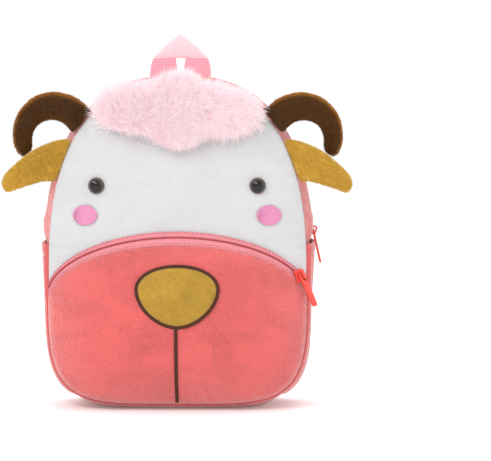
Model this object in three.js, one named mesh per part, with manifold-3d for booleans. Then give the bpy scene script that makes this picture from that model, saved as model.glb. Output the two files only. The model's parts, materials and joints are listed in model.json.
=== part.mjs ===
// A small child's plush backpack with a ram's face: a padded bag of two domed panels and a gusset,
// with a zipped muzzle pocket, horns, ears, forelock, two open side pockets, a carrying loop and two
// padded straps on ladder-lock buckles. Millimetres, +Z up, the face looks along -Y, and the origin
// is on the floor under the middle of the base.

import * as THREE from 'three';
import { mergeVertices } from 'three/addons/utils/BufferGeometryUtils.js';
import Module from 'manifold-3d';

const { lerp, smoothstep, degToRad } = THREE.MathUtils;

// Body: the seam line that both panels and the gusset share, seen from the front
const SEAM_HALF_WIDTH = 101;
const SEAM_TOP = 256;
const SEAM_BASE = 5;
const SEAM_WIDEST = 110;
const SEAM_TOP_ROUNDNESS = 2.5;
const SEAM_BASE_ROUNDNESS = 4.6;
const DEPTH_AT_BASE = 80;
const DEPTH_AT_TOP = 62;

// Cloth and clearances
const CLOTH = 2.5;
const POCKET_CLOTH = 2;
const WEBBING = 1.6;
const TAPE = 1.2;
const EMBROIDERY = 0.9;
const GAP = 0.3;

// Face panel and back panel
const FACE_CENTRE = 130;
const FACE_CROWN = 12;
const FACE_FULLNESS = 3.5;
const BACK_CENTRE = 130;
const BACK_CROWN = 6;
const BACK_FULLNESS = 3;

// Gusset, with how far it swells beyond the seam line at each share of the height
const GUSSET_SWELL = 5.5;
const GUSSET_SQUARENESS = 0.75;
const GUSSET_SWELLS = [
  { height: 0, swell: 1.8 },
  { height: 0.03, swell: 1.1 },
  { height: 0.1, swell: 0.6 },
  { height: 0.2, swell: 0 },
  { height: 0.3, swell: -0.3 },
  { height: 0.5, swell: -0.3 },
  { height: 0.57, swell: 0.95 },
  { height: 0.85, swell: 1 },
  { height: 1, swell: 0.9 },
];
const GUSSET_ROWS = [0, 0.14, 0.28, 0.42, 0.58, 0.72, 0.86, 1];
const ZIP_SLOT_ROW = 3;

// Side pockets
const SIDE_POCKET_BASE = 14;
const SIDE_POCKET_MOUTH = 130;
const SIDE_POCKET_STAND = 5.5;
const SIDE_POCKET_MARGIN = 0.02;
const SIDE_POCKET_RISE = 1.3;
const SIDE_POCKET_SQUARENESS = 0.5;

// Main zip round the top of the gusset
const MAIN_ZIP_END = 133;
const MAIN_ZIP_RECESS = 0.7;
const ZIP_COIL = 1.2;
const ZIP_SIDE_CLEARANCE = 0.006;
const MAIN_COIL_HALF = 0.028;
const ZIP_END_CLEARANCE = 0.04;

// Muzzle pocket: the arch of its zip, its swelling and the lift of its rim
const ARCH_OUTSET = 3;
const ARCH_HALF_WIDTH = SEAM_HALF_WIDTH + ARCH_OUTSET;
const ARCH_RISE = 52.5;
const ARCH_CENTRE = 88;
const ZIP_BAND = 10;
const POCKET_EDGE_SINK = 3;
const POCKET_CENTRE = 75;
const POCKET_SWELL = 20;
const POCKET_FULLNESS = 2.6;
const POCKET_RIM_LIFT = 8;
const POCKET_RIM_POWER = 1.5;
const POCKET_RIM_SQUARENESS = 0.5;
const POCKET_CORNER_CLEARANCE = 3;

// Muzzle embroidery
const NOSE_CENTRE_X = 1;
const NOSE_CENTRE_Z = 97;
const NOSE_HALF_WIDTH = 32.9;
const NOSE_UP = 19;
const NOSE_DOWN = 30.8;
const NOSE_TOP_ROUNDNESS = 2;
const NOSE_BASE_ROUNDNESS = 1.8;
const NOSE_LINE = 2.3;
const NOSE_PAD = 1.6;
const MOUTH_LINE = 2.6;

// Eyes and cheeks
const EYE_INSET = 38;
const EYE_X = SEAM_HALF_WIDTH - EYE_INSET;
const EYE_Z = 176;
const EYE_RADIUS = 6.5;
const EYE_DOME = 4.5;
const CHEEK_INSET = 29;
const CHEEK_X = SEAM_HALF_WIDTH - CHEEK_INSET;
const CHEEK_Z = 153;
const CHEEK_HALF_WIDTH = 9.8;
const CHEEK_HALF_HEIGHT = 7.8;

// Horns: curled round a centre beside the head
const HORN_INSET = 3;
const HORN_CENTRE_X = SEAM_HALF_WIDTH - HORN_INSET;
const HORN_CENTRE_Z = 213;
const HORN_REACH = 36;
const HORN_DEPTH = 20;
const HORN_ROOT_BASE = 215;
const HORN_ROOT_TOP = 236;
const HORN_ROOT_CLEARANCE = 1.4;
const HORN_ROOT_THICKNESS = 2.6;
const HORN_TIP_BACK = 11;
const HORN_SIDES = 10;

// Ears
const EAR_ROOT_TOP = 213;
const EAR_ROOT_BASE = 178;
const EAR_LENGTH = 54.5;
const EAR_THICKNESS = 11;
const EAR_TIP_FORWARD = 11;
const EAR_ROOT_CLEARANCE = 2.3;
const EAR_SIDES = 8;

// Forelock of long plush
const FORELOCK_Z = 233;
const FORELOCK_CORE = 30;
const FORELOCK_MARGIN = 30;
const FORELOCK_WING = SEAM_HALF_WIDTH - FORELOCK_MARGIN - FORELOCK_CORE;
const FORELOCK_SPAN = FORELOCK_CORE + FORELOCK_WING - 1;
const FORELOCK_WING_STAND = 5;
const FORELOCK_WING_START = 0.72;
const FORELOCK_WING_ABOVE = 28;
const FORELOCK_WING_BELOW = 19;
const FORELOCK_CROWN_SPREAD = 35;
const FORELOCK_BACKING = 0.82;
const FORELOCK_BACKING_SIDES = 28;
const FORELOCK_CROWN = 8;
const FORELOCK_THICKNESS = 20;
const FORELOCK_LOCKS = 26;
const LOCK_RADIUS = 7.5;
const LOCK_ROOT = 0.5;
const LOCK_STAND = 5;
const LOCK_SIDES = 6;
const LOCK_FLATNESS = 0.75;
const LOCK_CLEARANCE = 0.6;
const LOCK_CROWDING = 0.36;

// Carrying loop
const HANDLE_WIDTH = 25;
const HANDLE_BASE = 253.5;
const HANDLE_RISE = 31.5;
const HANDLE_LEG_GAP = 0.6;
const HANDLE_LEAN_BACK = 2;
const HANDLE_BOW = 3.5;
const HANDLE_CLEARANCE = 0.5;
const HANDLE_ROUNDNESS = 0.95;
const HANDLE_TURN = 44;
const HANDLE_TURN_START = 0.15;
const HANDLE_TURN_END = 0.9;
const HANDLE_CELLS = 14;

// Padded straps: width and thickness, and the gap between the pair
const STRAP_TOP = 247;
const STRAP_END = 50;
const STRAP_STAND = 28;
const STRAP_TOP_WIDTH = 50;
const STRAP_END_WIDTH = 54;
const STRAP_THICKNESS = 12;
const STRAP_TOP_GAP = 2;
const STRAP_END_GAP = 29;
const STRAP_SIDES = 10;
const STRAP_FLAT_POWER = 0.45;
const STRAP_EDGE_POWER = 0.8;
const STRAP_SEAM_TILT = 12;
const STRAP_TILT_END = 0.2;

// Ladder-lock buckles and their webbing
const BUCKLE_WIDTH = 34;
const BUCKLE_HEIGHT = 37;
const BUCKLE_THICKNESS = 4;
const BUCKLE_FRAME = 3.5;
const BUCKLE_TOP_BAR = 5;
const BUCKLE_DROP = 9;
const BUCKLE_OUTSET = 2;
const BUCKLE_CORNER = 3;
const BUCKLE_TAPER = 1.5;
const TAB_SEAT = 0.6;
const TAB_ENTRY = 0.4;
const TAB_TURN = 0.9;
const BAR_CROSSING = 1;
const ANCHOR_CLEARANCE = 1;
const ANCHOR_ENTRY = 4.2;
const ANCHOR_RETURN = 2.2;
const ANCHOR_TAIL = 2;
const BUCKLE_TURN = 4;
const BUCKLE_BAR = 3;
const BUCKLE_WINDOW_TOP = 5;
const BUCKLE_WINDOW_MIDDLE = 6;
const BUCKLE_WINDOW_BASE = 4.5;
const STRAP_WEBBING_WIDTH = 26;
const ANCHOR_X = 57;
const ANCHOR_Z = 10;
const ANCHOR_TURN = 27;

// Zip sliders and pulls
const SLIDER_LENGTH = 10;
const SLIDER_WIDTH = 8;
const SLIDER_PLATE = 2.2;
const BRIDGE_HEIGHT = 3.2;
const BRIDGE_HALF_LENGTH = 2.2;
const BRIDGE_WALL = 1.3;
const BRIDGE_WIDTH = 2.2;
const BRIDGE_FOOT = 0.4;
const BRIDGE_CHAMFER = 0.8;
const PULL_LENGTH = 27;
const PULL_THICKNESS = 1.8;
const PULL_HOLE = 6;
const PULL_HOLE_HALF_WIDTH = 1.8;
const PULL_RIM = 1.4;
const PULL_HALF_WIDTH = 3.6;
const PULL_NECK_START = 7;
const PULL_NECK_END = 10;
const PULL_TIP = 2;
const POCKET_SLIDER_SHARE = 0.84;
const POCKET_COIL_SHARE = 0.47;
const POCKET_PULL_LEAN = 20;
const MAIN_SLIDER_RISE = 7;
const MAIN_SLIDER_CLEARANCE = 0.2;
const MAIN_PULL_LEAN = 30;

// Facets
const BASE_CELLS = 5;
const SIDE_POCKET_CELLS = 8;
const ZIP_END_CELLS = 1;
const CROWN_CELLS = 11;
const FACE_RINGS = [0, 0.3, 0.55, 0.75, 0.9, 1];
const BACK_RINGS = [0, 0.4, 0.75, 1];
const ARCH_CELLS = 20;
const HALVINGS = 40;
const SEAM_STEPS = 2000;

const range = (count) => Array.from({ length: count }, (_, index) => index);
const point = (x, y, z) => new THREE.Vector3(x, y, z);

// Reads a table of rows at a key, with straight lines between the rows
function readTable(table, key, column, value) {
  const next = table.findIndex((row) => row[key] >= value);
  if (next === 0) return table[0][column];
  if (next < 0) return table[table.length - 1][column];
  const low = table[next - 1];
  const high = table[next];
  return lerp(low[column], high[column], (value - low[key]) / (high[key] - low[key]));
}

// The last value on the way from one that passes a test to one that fails it, found by halving
function findCrossing(passing, failing, test) {
  let inside = passing;
  let outside = failing;
  for (let step = 0; step < HALVINGS; step += 1) {
    const middle = (inside + outside) / 2;
    if (test(middle)) inside = middle;
    else outside = middle;
  }
  return inside;
}

// Solids from triangles

function signedVolume(triangles) {
  return triangles.reduce((sum, [a, b, c]) => sum + a.dot(point().crossVectors(b, c)), 0) / 6;
}

function solidFromTriangles(triangles) {
  const outward = signedVolume(triangles) > 0;
  const positions = triangles.flatMap(([a, b, c]) => {
    const corners = outward ? [a, b, c] : [a, c, b];
    return corners.flatMap((corner) => corner.toArray());
  });
  const geometry = new THREE.BufferGeometry();
  geometry.setAttribute('position', new THREE.Float32BufferAttribute(positions, 3));
  return geometry;
}

function makeFacets() {
  const triangles = [];
  const same = (a, b) => a.distanceToSquared(b) < 1e-8;
  const triangle = (a, b, c) => {
    if (!same(a, b) && !same(b, c) && !same(c, a)) triangles.push([a, b, c]);
  };
  const quad = (a, b, c, d) => {
    triangle(a, b, c);
    triangle(a, c, d);
  };
  return { triangles, triangle, quad };
}

// A wall of cloth between an outer and an inner grid of points, closed all round its borders.
// hasCell leaves openings in the wall, and closed joins the last column to the first.
function wallSolid(outer, inner, { closed = false, hasCell = () => true } = {}) {
  const columns = outer.length;
  const rows = outer[0].length;
  const cellColumns = closed ? columns : columns - 1;
  const facets = makeFacets();
  const exists = (column, row) => {
    if (row < 0 || row >= rows - 1) return false;
    if (!closed && (column < 0 || column >= cellColumns)) return false;
    return hasCell((column + columns) % columns, row);
  };
  for (const column of range(cellColumns)) {
    for (const row of range(rows - 1)) {
      if (!exists(column, row)) continue;
      const next = (column + 1) % columns;
      const corners = [[column, row], [column, row + 1], [next, row + 1], [next, row]];
      const [a, b, c, d] = corners.map(([i, j]) => outer[i][j]);
      const [ai, bi, ci, di] = corners.map(([i, j]) => inner[i][j]);
      facets.quad(a, b, c, d);
      facets.quad(ai, di, ci, bi);
      if (!exists(column - 1, row)) facets.quad(b, a, ai, bi);
      if (!exists(column, row + 1)) facets.quad(c, b, bi, ci);
      if (!exists(column + 1, row)) facets.quad(d, c, ci, di);
      if (!exists(column, row - 1)) facets.quad(a, d, di, ai);
    }
  }
  return solidFromTriangles(facets.triangles);
}

// A solid skinned over cross-sections that all have as many corners
function loftSolid(sections) {
  const facets = makeFacets();
  const count = sections[0].length;
  for (const index of range(sections.length - 1)) {
    const here = sections[index];
    const there = sections[index + 1];
    for (const side of range(count)) {
      const next = (side + 1) % count;
      facets.quad(here[side], here[next], there[next], there[side]);
    }
  }
  const first = sections[0];
  const last = sections[sections.length - 1];
  for (const side of range(count - 2)) {
    facets.triangle(first[0], first[side + 2], first[side + 1]);
    facets.triangle(last[0], last[side + 1], last[side + 2]);
  }
  return solidFromTriangles(facets.triangles);
}

// A flat band along a path, with the direction across it given at each point of the path
function ribbonSolid(path, acrosses, width, thickness) {
  const sections = path.map((here, index) => {
    const before = path[Math.max(index - 1, 0)];
    const after = path[Math.min(index + 1, path.length - 1)];
    const along = after.clone().sub(before).normalize();
    const across = acrosses[index].clone();
    across.addScaledVector(along, -across.dot(along)).normalize();
    const out = point().crossVectors(along, across);
    const corner = (side, face) => here.clone()
      .addScaledVector(across, side * width / 2)
      .addScaledVector(out, face * thickness / 2);
    return [corner(-1, -1), corner(1, -1), corner(1, 1), corner(-1, 1)];
  });
  return loftSolid(sections);
}

function facesOutward(geometry) {
  const corners = geometry.index ? geometry.toNonIndexed() : geometry;
  const places = corners.getAttribute('position');
  const triangles = range(places.count / 3).map((index) => (
    range(3).map((corner) => point().fromBufferAttribute(places, 3 * index + corner))
  ));
  return solidFromTriangles(triangles);
}

// An extruded outline, laid on its own axes: right and up in the outline's plane, out through it
function plateSolid(shape, depth, { origin, right, up, out }) {
  const geometry = new THREE.ExtrudeGeometry(shape, { depth, bevelEnabled: false, curveSegments: 5 });
  geometry.translate(0, 0, -depth / 2);
  const placing = new THREE.Matrix4().makeBasis(right, up, out).setPosition(origin);
  geometry.applyMatrix4(placing);
  return facesOutward(geometry);
}

const wasm = await Module();
wasm.setup();

function toManifold(geometry) {
  const bare = new THREE.BufferGeometry();
  bare.setAttribute('position', geometry.getAttribute('position').clone());
  const merged = mergeVertices(bare, 1e-4);
  return new wasm.Manifold(new wasm.Mesh({
    numProp: 3,
    vertProperties: Float32Array.from(merged.getAttribute('position').array),
    triVerts: Uint32Array.from(merged.index.array),
  }));
}

function fromManifold(solid) {
  const mesh = solid.getMesh();
  const geometry = new THREE.BufferGeometry();
  geometry.setAttribute('position', new THREE.BufferAttribute(Float32Array.from(mesh.vertProperties), 3));
  geometry.setIndex(new THREE.BufferAttribute(Uint32Array.from(mesh.triVerts), 1));
  return geometry;
}

const fuse = (geometries) => (
  fromManifold(geometries.map(toManifold).reduce((whole, piece) => whole.add(piece)))
);

const cut = (geometry, tools) => (
  fromManifold(tools.map(toManifold).reduce((whole, tool) => whole.subtract(tool), toManifold(geometry)))
);

// The seam line

function seamSide(z) {
  const upper = z > SEAM_WIDEST;
  return {
    reach: upper ? SEAM_TOP - SEAM_WIDEST : SEAM_WIDEST - SEAM_BASE,
    roundness: upper ? SEAM_TOP_ROUNDNESS : SEAM_BASE_ROUNDNESS,
  };
}

function seamHalfWidth(z) {
  if (z >= SEAM_TOP || z <= SEAM_BASE) return 0;
  const { reach, roundness } = seamSide(z);
  const rise = Math.abs(z - SEAM_WIDEST) / reach;
  return SEAM_HALF_WIDTH * (1 - rise ** roundness) ** (1 / roundness);
}

function seamNormal(x, z) {
  const { reach, roundness } = seamSide(z);
  const power = roundness - 1;
  const sideways = Math.sign(x) * Math.abs(x / SEAM_HALF_WIDTH) ** power / SEAM_HALF_WIDTH;
  const upward = Math.sign(z - SEAM_WIDEST) * Math.abs((z - SEAM_WIDEST) / reach) ** power / reach;
  return point(sideways, 0, upward).normalize();
}

// Points of the right half, from the middle of the base up to the top
function fineSeam() {
  return range(SEAM_STEPS + 1).map((step) => {
    const angle = Math.PI * (step / SEAM_STEPS - 0.5);
    const { reach, roundness } = seamSide(SEAM_WIDEST + Math.sin(angle));
    const x = SEAM_HALF_WIDTH * Math.abs(Math.cos(angle)) ** (2 / roundness);
    const z = SEAM_WIDEST + Math.sign(Math.sin(angle)) * reach * Math.abs(Math.sin(angle)) ** (2 / roundness);
    return { x: step === 0 || step === SEAM_STEPS ? 0 : x, z };
  });
}

// Equal steps along the seam between two heights, without the last point
function seamSpan(fine, low, high, cells) {
  const span = fine.filter(({ z }) => z > low && z < high);
  const start = { x: seamHalfWidth(low), z: low };
  const end = { x: seamHalfWidth(high), z: high };
  const line = [start, ...span, end];
  const lengths = [0];
  for (const index of range(line.length - 1)) {
    const step = Math.hypot(line[index + 1].x - line[index].x, line[index + 1].z - line[index].z);
    lengths.push(lengths[index] + step);
  }
  const whole = lengths[lengths.length - 1];
  return range(cells).map((cell) => {
    const wanted = whole * cell / cells;
    const next = Math.max(1, lengths.findIndex((length) => length >= wanted));
    const share = (wanted - lengths[next - 1]) / (lengths[next] - lengths[next - 1]);
    const x = lerp(line[next - 1].x, line[next].x, share);
    const z = lerp(line[next - 1].z, line[next].z, share);
    return { x, z };
  });
}

function makeSeamStations() {
  const fine = fineSeam();
  const right = [
    ...seamSpan(fine, SEAM_BASE, SIDE_POCKET_BASE, BASE_CELLS),
    ...seamSpan(fine, SIDE_POCKET_BASE, SIDE_POCKET_MOUTH, SIDE_POCKET_CELLS),
    ...seamSpan(fine, SIDE_POCKET_MOUTH, MAIN_ZIP_END, ZIP_END_CELLS),
    ...seamSpan(fine, MAIN_ZIP_END, SEAM_TOP, CROWN_CELLS),
    { x: 0, z: SEAM_TOP },
  ];
  const left = right.slice(1, -1).reverse().map(({ x, z }) => ({ x: -x, z }));
  return [...right, ...left].map(({ x, z }) => ({ x, z, normal: seamNormal(x, z) }));
}

const seamStations = makeSeamStations();
const topStation = BASE_CELLS + SIDE_POCKET_CELLS + ZIP_END_CELLS + CROWN_CELLS;

const halfDepth = (z) => lerp(DEPTH_AT_BASE, DEPTH_AT_TOP, z / SEAM_TOP) / 2;
const frontSeamY = (z) => -halfDepth(z);
const backSeamY = (z) => halfDepth(z);

// Share of the way from a centre to the edge of a region, along the line through a point
function shareOfReach(x, z, centre, isInside) {
  const away = Math.hypot(x, z - centre);
  if (away < 1e-6) return 0;
  const farthest = 2 * (SEAM_TOP + SEAM_HALF_WIDTH) / away;
  const edge = findCrossing(0, farthest, (times) => isInside(x * times, centre + (z - centre) * times));
  return Math.min(1, 1 / edge);
}

const isInsideSeam = (x, z) => Math.abs(x) < seamHalfWidth(z);

// Domed panels

const faceRimY = (z) => frontSeamY(z) - CLOTH;
const faceDomeY = (share, z) => faceRimY(z) - FACE_CROWN * (1 - share ** FACE_FULLNESS);
const faceY = (x, z) => faceDomeY(shareOfReach(x, z, FACE_CENTRE, isInsideSeam), z);
const backDomeY = (share, z) => backSeamY(z) + CLOTH + BACK_CROWN * (1 - share ** BACK_FULLNESS);
const backY = (x, z) => backDomeY(shareOfReach(x, z, BACK_CENTRE, isInsideSeam), z);

function domeSolid(boundary, centre, rings, outerY, thickness) {
  const grid = (shift) => boundary.map((edge) => rings.map((share) => {
    const x = edge.x * share;
    const z = centre + (edge.z - centre) * share;
    return point(x, outerY(share, x, z, edge) + shift, z);
  }));
  return wallSolid(grid(0), grid(thickness), { closed: true });
}

const facePanel = () => domeSolid(
  seamStations, FACE_CENTRE, FACE_RINGS, (share, x, z) => faceDomeY(share, z), CLOTH,
);

const backPanel = () => domeSolid(
  seamStations, BACK_CENTRE, BACK_RINGS, (share, x, z) => backDomeY(share, z), -CLOTH,
);

// Gusset

function gussetSwell(z, across) {
  const height = (z - SEAM_BASE) / (SEAM_TOP - SEAM_BASE);
  const swell = GUSSET_SWELL * readTable(GUSSET_SWELLS, 'height', 'swell', height);
  return swell * Math.sin(Math.PI * across) ** GUSSET_SQUARENESS;
}

// A point over the gusset: across runs from the front seam to the back one
function gussetPoint(station, across, lift) {
  const { x, z, normal } = station;
  const y = lerp(frontSeamY(z) + GAP, backSeamY(z) - GAP, across);
  const placed = point(x, y, z).addScaledVector(normal, gussetSwell(z, across) + lift);
  placed.z = Math.max(placed.z, -Math.min(lift, 0));
  return placed;
}

const isZipStation = (station) => station.z >= MAIN_ZIP_END - 1e-6;

function gusset() {
  const grid = (lift) => seamStations.map((station) => (
    GUSSET_ROWS.map((across) => gussetPoint(station, across, lift))
  ));
  const hasCell = (column, row) => {
    const next = seamStations[(column + 1) % seamStations.length];
    return row !== ZIP_SLOT_ROW || !isZipStation(seamStations[column]) || !isZipStation(next);
  };
  return wallSolid(grid(0), grid(-CLOTH), { closed: true, hasCell });
}

// The zip fills the gusset's slot from end to end, with its coil as a low ridge
function mainZipper() {
  const slotLow = GUSSET_ROWS[ZIP_SLOT_ROW];
  const slotHigh = GUSSET_ROWS[ZIP_SLOT_ROW + 1];
  const middle = (slotLow + slotHigh) / 2;
  const rows = [
    { across: slotLow + ZIP_SIDE_CLEARANCE, lift: -MAIN_ZIP_RECESS },
    { across: middle - MAIN_COIL_HALF, lift: ZIP_COIL - MAIN_ZIP_RECESS },
    { across: middle + MAIN_COIL_HALF, lift: ZIP_COIL - MAIN_ZIP_RECESS },
    { across: slotHigh - ZIP_SIDE_CLEARANCE, lift: -MAIN_ZIP_RECESS },
  ];
  const stations = seamStations.filter(isZipStation);
  const column = (lift) => stations.map((station, index) => {
    const inward = index === 0 ? 1 : stations.length - 2;
    const isEnd = index === 0 || index === stations.length - 1;
    return rows.map((row) => {
      const here = gussetPoint(station, row.across, row.lift + lift);
      if (!isEnd) return here;
      return here.lerp(gussetPoint(stations[inward], row.across, row.lift + lift), ZIP_END_CLEARANCE);
    });
  });
  return wallSolid(column(0), column(-TAPE));
}

// Open side pocket over the lower gusset, standing off towards its mouth
function sidePocket(side) {
  const inPocket = ({ x, z }) => (
    x * side > 0 && z > SIDE_POCKET_BASE - 1e-6 && z < SIDE_POCKET_MOUTH + 1e-6
  );
  const stations = seamStations.filter(inPocket);
  const rows = GUSSET_ROWS.map((across) => (
    Math.min(Math.max(across, SIDE_POCKET_MARGIN), 1 - SIDE_POCKET_MARGIN)
  ));
  const grid = (lift) => stations.map((station) => rows.map((across) => {
    const height = (station.z - SIDE_POCKET_BASE) / (SIDE_POCKET_MOUTH - SIDE_POCKET_BASE);
    const stand = height ** SIDE_POCKET_RISE * Math.sin(Math.PI * across) ** SIDE_POCKET_SQUARENESS;
    return gussetPoint(station, across, lerp(GAP, SIDE_POCKET_STAND, stand) + lift);
  }));
  return wallSolid(grid(POCKET_CLOTH), grid(0));
}

// Muzzle pocket and its zip

const zipArch = { halfWidth: ARCH_HALF_WIDTH, rise: ARCH_RISE, centre: ARCH_CENTRE };
const pocketEdge = {
  halfWidth: SEAM_HALF_WIDTH + GAP,
  rise: ARCH_RISE - ZIP_BAND + POCKET_EDGE_SINK,
  centre: ARCH_CENTRE - POCKET_EDGE_SINK,
};

// A point of an arch, from its left end at -1 to its right end at 1, both on the seam
function archPoint(arch, share) {
  const at = (angle) => ({
    x: arch.halfWidth * Math.cos(angle),
    z: arch.centre + arch.rise * Math.sin(angle),
  });
  const lowest = findCrossing(Math.PI / 2, 0, (angle) => at(angle).x < seamHalfWidth(at(angle).z));
  const angle = Math.PI / 2 - Math.abs(share) * (Math.PI / 2 - lowest);
  const { x, z } = at(angle);
  return { x: Math.abs(share) === 0 ? 0 : Math.sign(share) * x, z };
}

const pocketCorner = archPoint(pocketEdge, 1);

function isInsidePocket(x, z) {
  if (!isInsideSeam(x, z)) return false;
  if (z < pocketCorner.z) return true;
  const away = Math.abs(x) / pocketEdge.halfWidth;
  return z < pocketEdge.centre + pocketEdge.rise * Math.sqrt(Math.max(0, 1 - away ** 2));
}

// Lift of the pocket's rim off the face, full along the arch and none at the seams
function rimLift(x, z) {
  const corner = Math.atan2(pocketCorner.z - POCKET_CENTRE, pocketCorner.x);
  const angle = Math.atan2(z - POCKET_CENTRE, x);
  const share = (angle - corner) / (Math.PI - 2 * corner);
  if (share <= 0 || share >= 1) return 0;
  return POCKET_RIM_LIFT * Math.sin(Math.PI * share) ** POCKET_RIM_SQUARENESS;
}

function pocketDomeY(share, x, z) {
  const swell = POCKET_SWELL * (1 - share ** POCKET_FULLNESS);
  const lift = rimLift(x, z) * share ** POCKET_RIM_POWER;
  return faceY(x, z) - GAP - swell - lift - CLOTH;
}

const pocketY = (x, z) => pocketDomeY(shareOfReach(x, z, POCKET_CENTRE, isInsidePocket), x, z);

function muzzlePocket() {
  const arch = range(ARCH_CELLS + 1).map((index) => archPoint(pocketEdge, 1 - 2 * index / ARCH_CELLS));
  const low = ({ z }) => z < pocketCorner.z - POCKET_CORNER_CLEARANCE;
  const leftSeam = seamStations.slice(topStation).filter(low);
  const rightSeam = seamStations.slice(0, topStation).filter(low);
  const boundary = [...arch, ...leftSeam, ...rightSeam];
  return domeSolid(boundary, POCKET_CENTRE, FACE_RINGS, pocketDomeY, CLOTH);
}

const POCKET_ZIP_ROWS = [
  { share: 0, coil: 0 },
  { share: 0.34, coil: 0 },
  { share: 0.4, coil: 1 },
  { share: 0.54, coil: 1 },
  { share: 0.6, coil: 0 },
  { share: 1, coil: 0 },
];

// A point of the slanting zip band: share 0 on the face and 1 at the pocket's rim
function pocketZipPoint(along, share, coil, lift) {
  const upper = archPoint(zipArch, along);
  const lower = archPoint(pocketEdge, along);
  const top = point(upper.x, faceY(upper.x, upper.z) - GAP - TAPE, upper.z);
  const rim = point(lower.x, pocketDomeY(1, lower.x, lower.z) + (CLOTH - TAPE) / 2, lower.z + GAP);
  const placed = top.lerp(rim, share);
  placed.y -= coil * ZIP_COIL + lift;
  return placed;
}

function pocketZipper() {
  const grid = (lift) => range(ARCH_CELLS + 1).map((index) => {
    const along = 2 * index / ARCH_CELLS - 1;
    return POCKET_ZIP_ROWS.map(({ share, coil }) => pocketZipPoint(along, share, coil, lift));
  });
  return wallSolid(grid(0), grid(-TAPE));
}

// Flat trims that follow a panel: an outline of offsets from a centre, padded towards the middle

function patchSolid({ x, z }, outline, rings, surfaceY, thicknessAt) {
  const grid = (depthAt) => outline.map((offset) => rings.map((share) => {
    const px = x + offset.x * share;
    const pz = z + offset.z * share;
    return point(px, surfaceY(px, pz) - GAP - depthAt(share), pz);
  }));
  return wallSolid(grid(thicknessAt), grid(() => 0), { closed: true });
}

function ellipseOutline(halfWidth, halfHeight, count) {
  return range(count).map((index) => {
    const angle = 2 * Math.PI * index / count;
    return { x: halfWidth * Math.cos(angle), z: halfHeight * Math.sin(angle) };
  });
}

// The nose is wide and nearly flat on top, and narrows to a round chin
function noseOutline(inset, count) {
  return range(count).map((index) => {
    const angle = 2 * Math.PI * index / count;
    const upper = Math.sin(angle) > 0;
    const roundness = upper ? NOSE_TOP_ROUNDNESS : NOSE_BASE_ROUNDNESS;
    const reach = (upper ? NOSE_UP : NOSE_DOWN) - inset;
    const across = Math.sign(Math.cos(angle)) * Math.abs(Math.cos(angle)) ** (2 / roundness);
    const up = Math.sign(Math.sin(angle)) * Math.abs(Math.sin(angle)) ** (2 / roundness);
    return { x: (NOSE_HALF_WIDTH - inset) * across, z: reach * up };
  });
}

const noseCentre = { x: NOSE_CENTRE_X, z: NOSE_CENTRE_Z };
const NOSE_SIDES = 24;

const nosePatch = () => patchSolid(
  noseCentre, noseOutline(NOSE_LINE + GAP, NOSE_SIDES), [0, 0.5, 0.85, 1], pocketY,
  (share) => EMBROIDERY + NOSE_PAD * (1 - share ** 2),
);

function noseLine() {
  const outside = noseOutline(0, NOSE_SIDES);
  const inside = noseOutline(NOSE_LINE, NOSE_SIDES);
  const grid = (depth) => range(NOSE_SIDES).map((index) => [inside[index], outside[index]].map((offset) => {
    const x = NOSE_CENTRE_X + offset.x;
    const z = NOSE_CENTRE_Z + offset.z;
    return point(x, pocketY(x, z) - GAP - depth, z);
  }));
  return wallSolid(grid(EMBROIDERY), grid(0), { closed: true });
}

function mouthLine() {
  const top = NOSE_CENTRE_Z - NOSE_DOWN - GAP;
  const base = SEAM_BASE + 1;
  const cells = 7;
  const grid = (depth) => range(cells + 1).map((index) => {
    const z = lerp(top, base, index / cells);
    return [-0.5, 0.5].map((side) => {
      const x = side * MOUTH_LINE;
      return point(x, pocketY(x, z) - GAP - depth, z);
    });
  });
  return wallSolid(grid(EMBROIDERY), grid(0));
}

const eye = (side) => patchSolid(
  { x: side * EYE_X, z: EYE_Z }, ellipseOutline(EYE_RADIUS, EYE_RADIUS, 14), [0, 0.45, 0.8, 1], faceY,
  (share) => EMBROIDERY + EYE_DOME * Math.sqrt(1 - share ** 2),
);

const cheek = (side) => patchSolid(
  { x: side * CHEEK_X, z: CHEEK_Z }, ellipseOutline(CHEEK_HALF_WIDTH, CHEEK_HALF_HEIGHT, 16), [0, 0.6, 1],
  faceY, () => EMBROIDERY,
);

// Horns

const HORN_SECTIONS = [
  { inAngle: 14, inReach: 0.42, outAngle: 44, outReach: 1.03, depth: 0.5, back: 0.02 },
  { inAngle: 30, inReach: 0.4, outAngle: 55, outReach: 1.02, depth: 0.85, back: 0.06 },
  { inAngle: 55, inReach: 0.385, outAngle: 70, outReach: 1.005, depth: 1, back: 0.15 },
  { inAngle: 85, inReach: 0.38, outAngle: 90, outReach: 1, depth: 1.03, back: 0.3 },
  { inAngle: 113, inReach: 0.395, outAngle: 113, outReach: 0.98, depth: 0.98, back: 0.45 },
  { inAngle: 138, inReach: 0.42, outAngle: 138, outReach: 0.945, depth: 0.88, back: 0.6 },
  { inAngle: 162, inReach: 0.445, outAngle: 162, outReach: 0.91, depth: 0.8, back: 0.75 },
  { inAngle: 185, inReach: 0.465, outAngle: 185, outReach: 0.885, depth: 0.74, back: 0.88 },
  { inAngle: 202, inReach: 0.5, outAngle: 202, outReach: 0.865, depth: 0.66, back: 0.96 },
  { inAngle: 212, inReach: 0.58, outAngle: 212, outReach: 0.81, depth: 0.4, back: 1 },
];

function hornCentrePoint(angle, reach) {
  const turned = degToRad(angle);
  const away = HORN_REACH * reach;
  return { x: HORN_CENTRE_X - away * Math.cos(turned), z: HORN_CENTRE_Z + away * Math.sin(turned) };
}

// A point just outside the seam line at a height
function besideSeam(z, clearance) {
  const x = seamHalfWidth(z);
  const normal = seamNormal(x, z);
  return { x: x + clearance * normal.x, z: z + clearance * normal.z };
}

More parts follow.
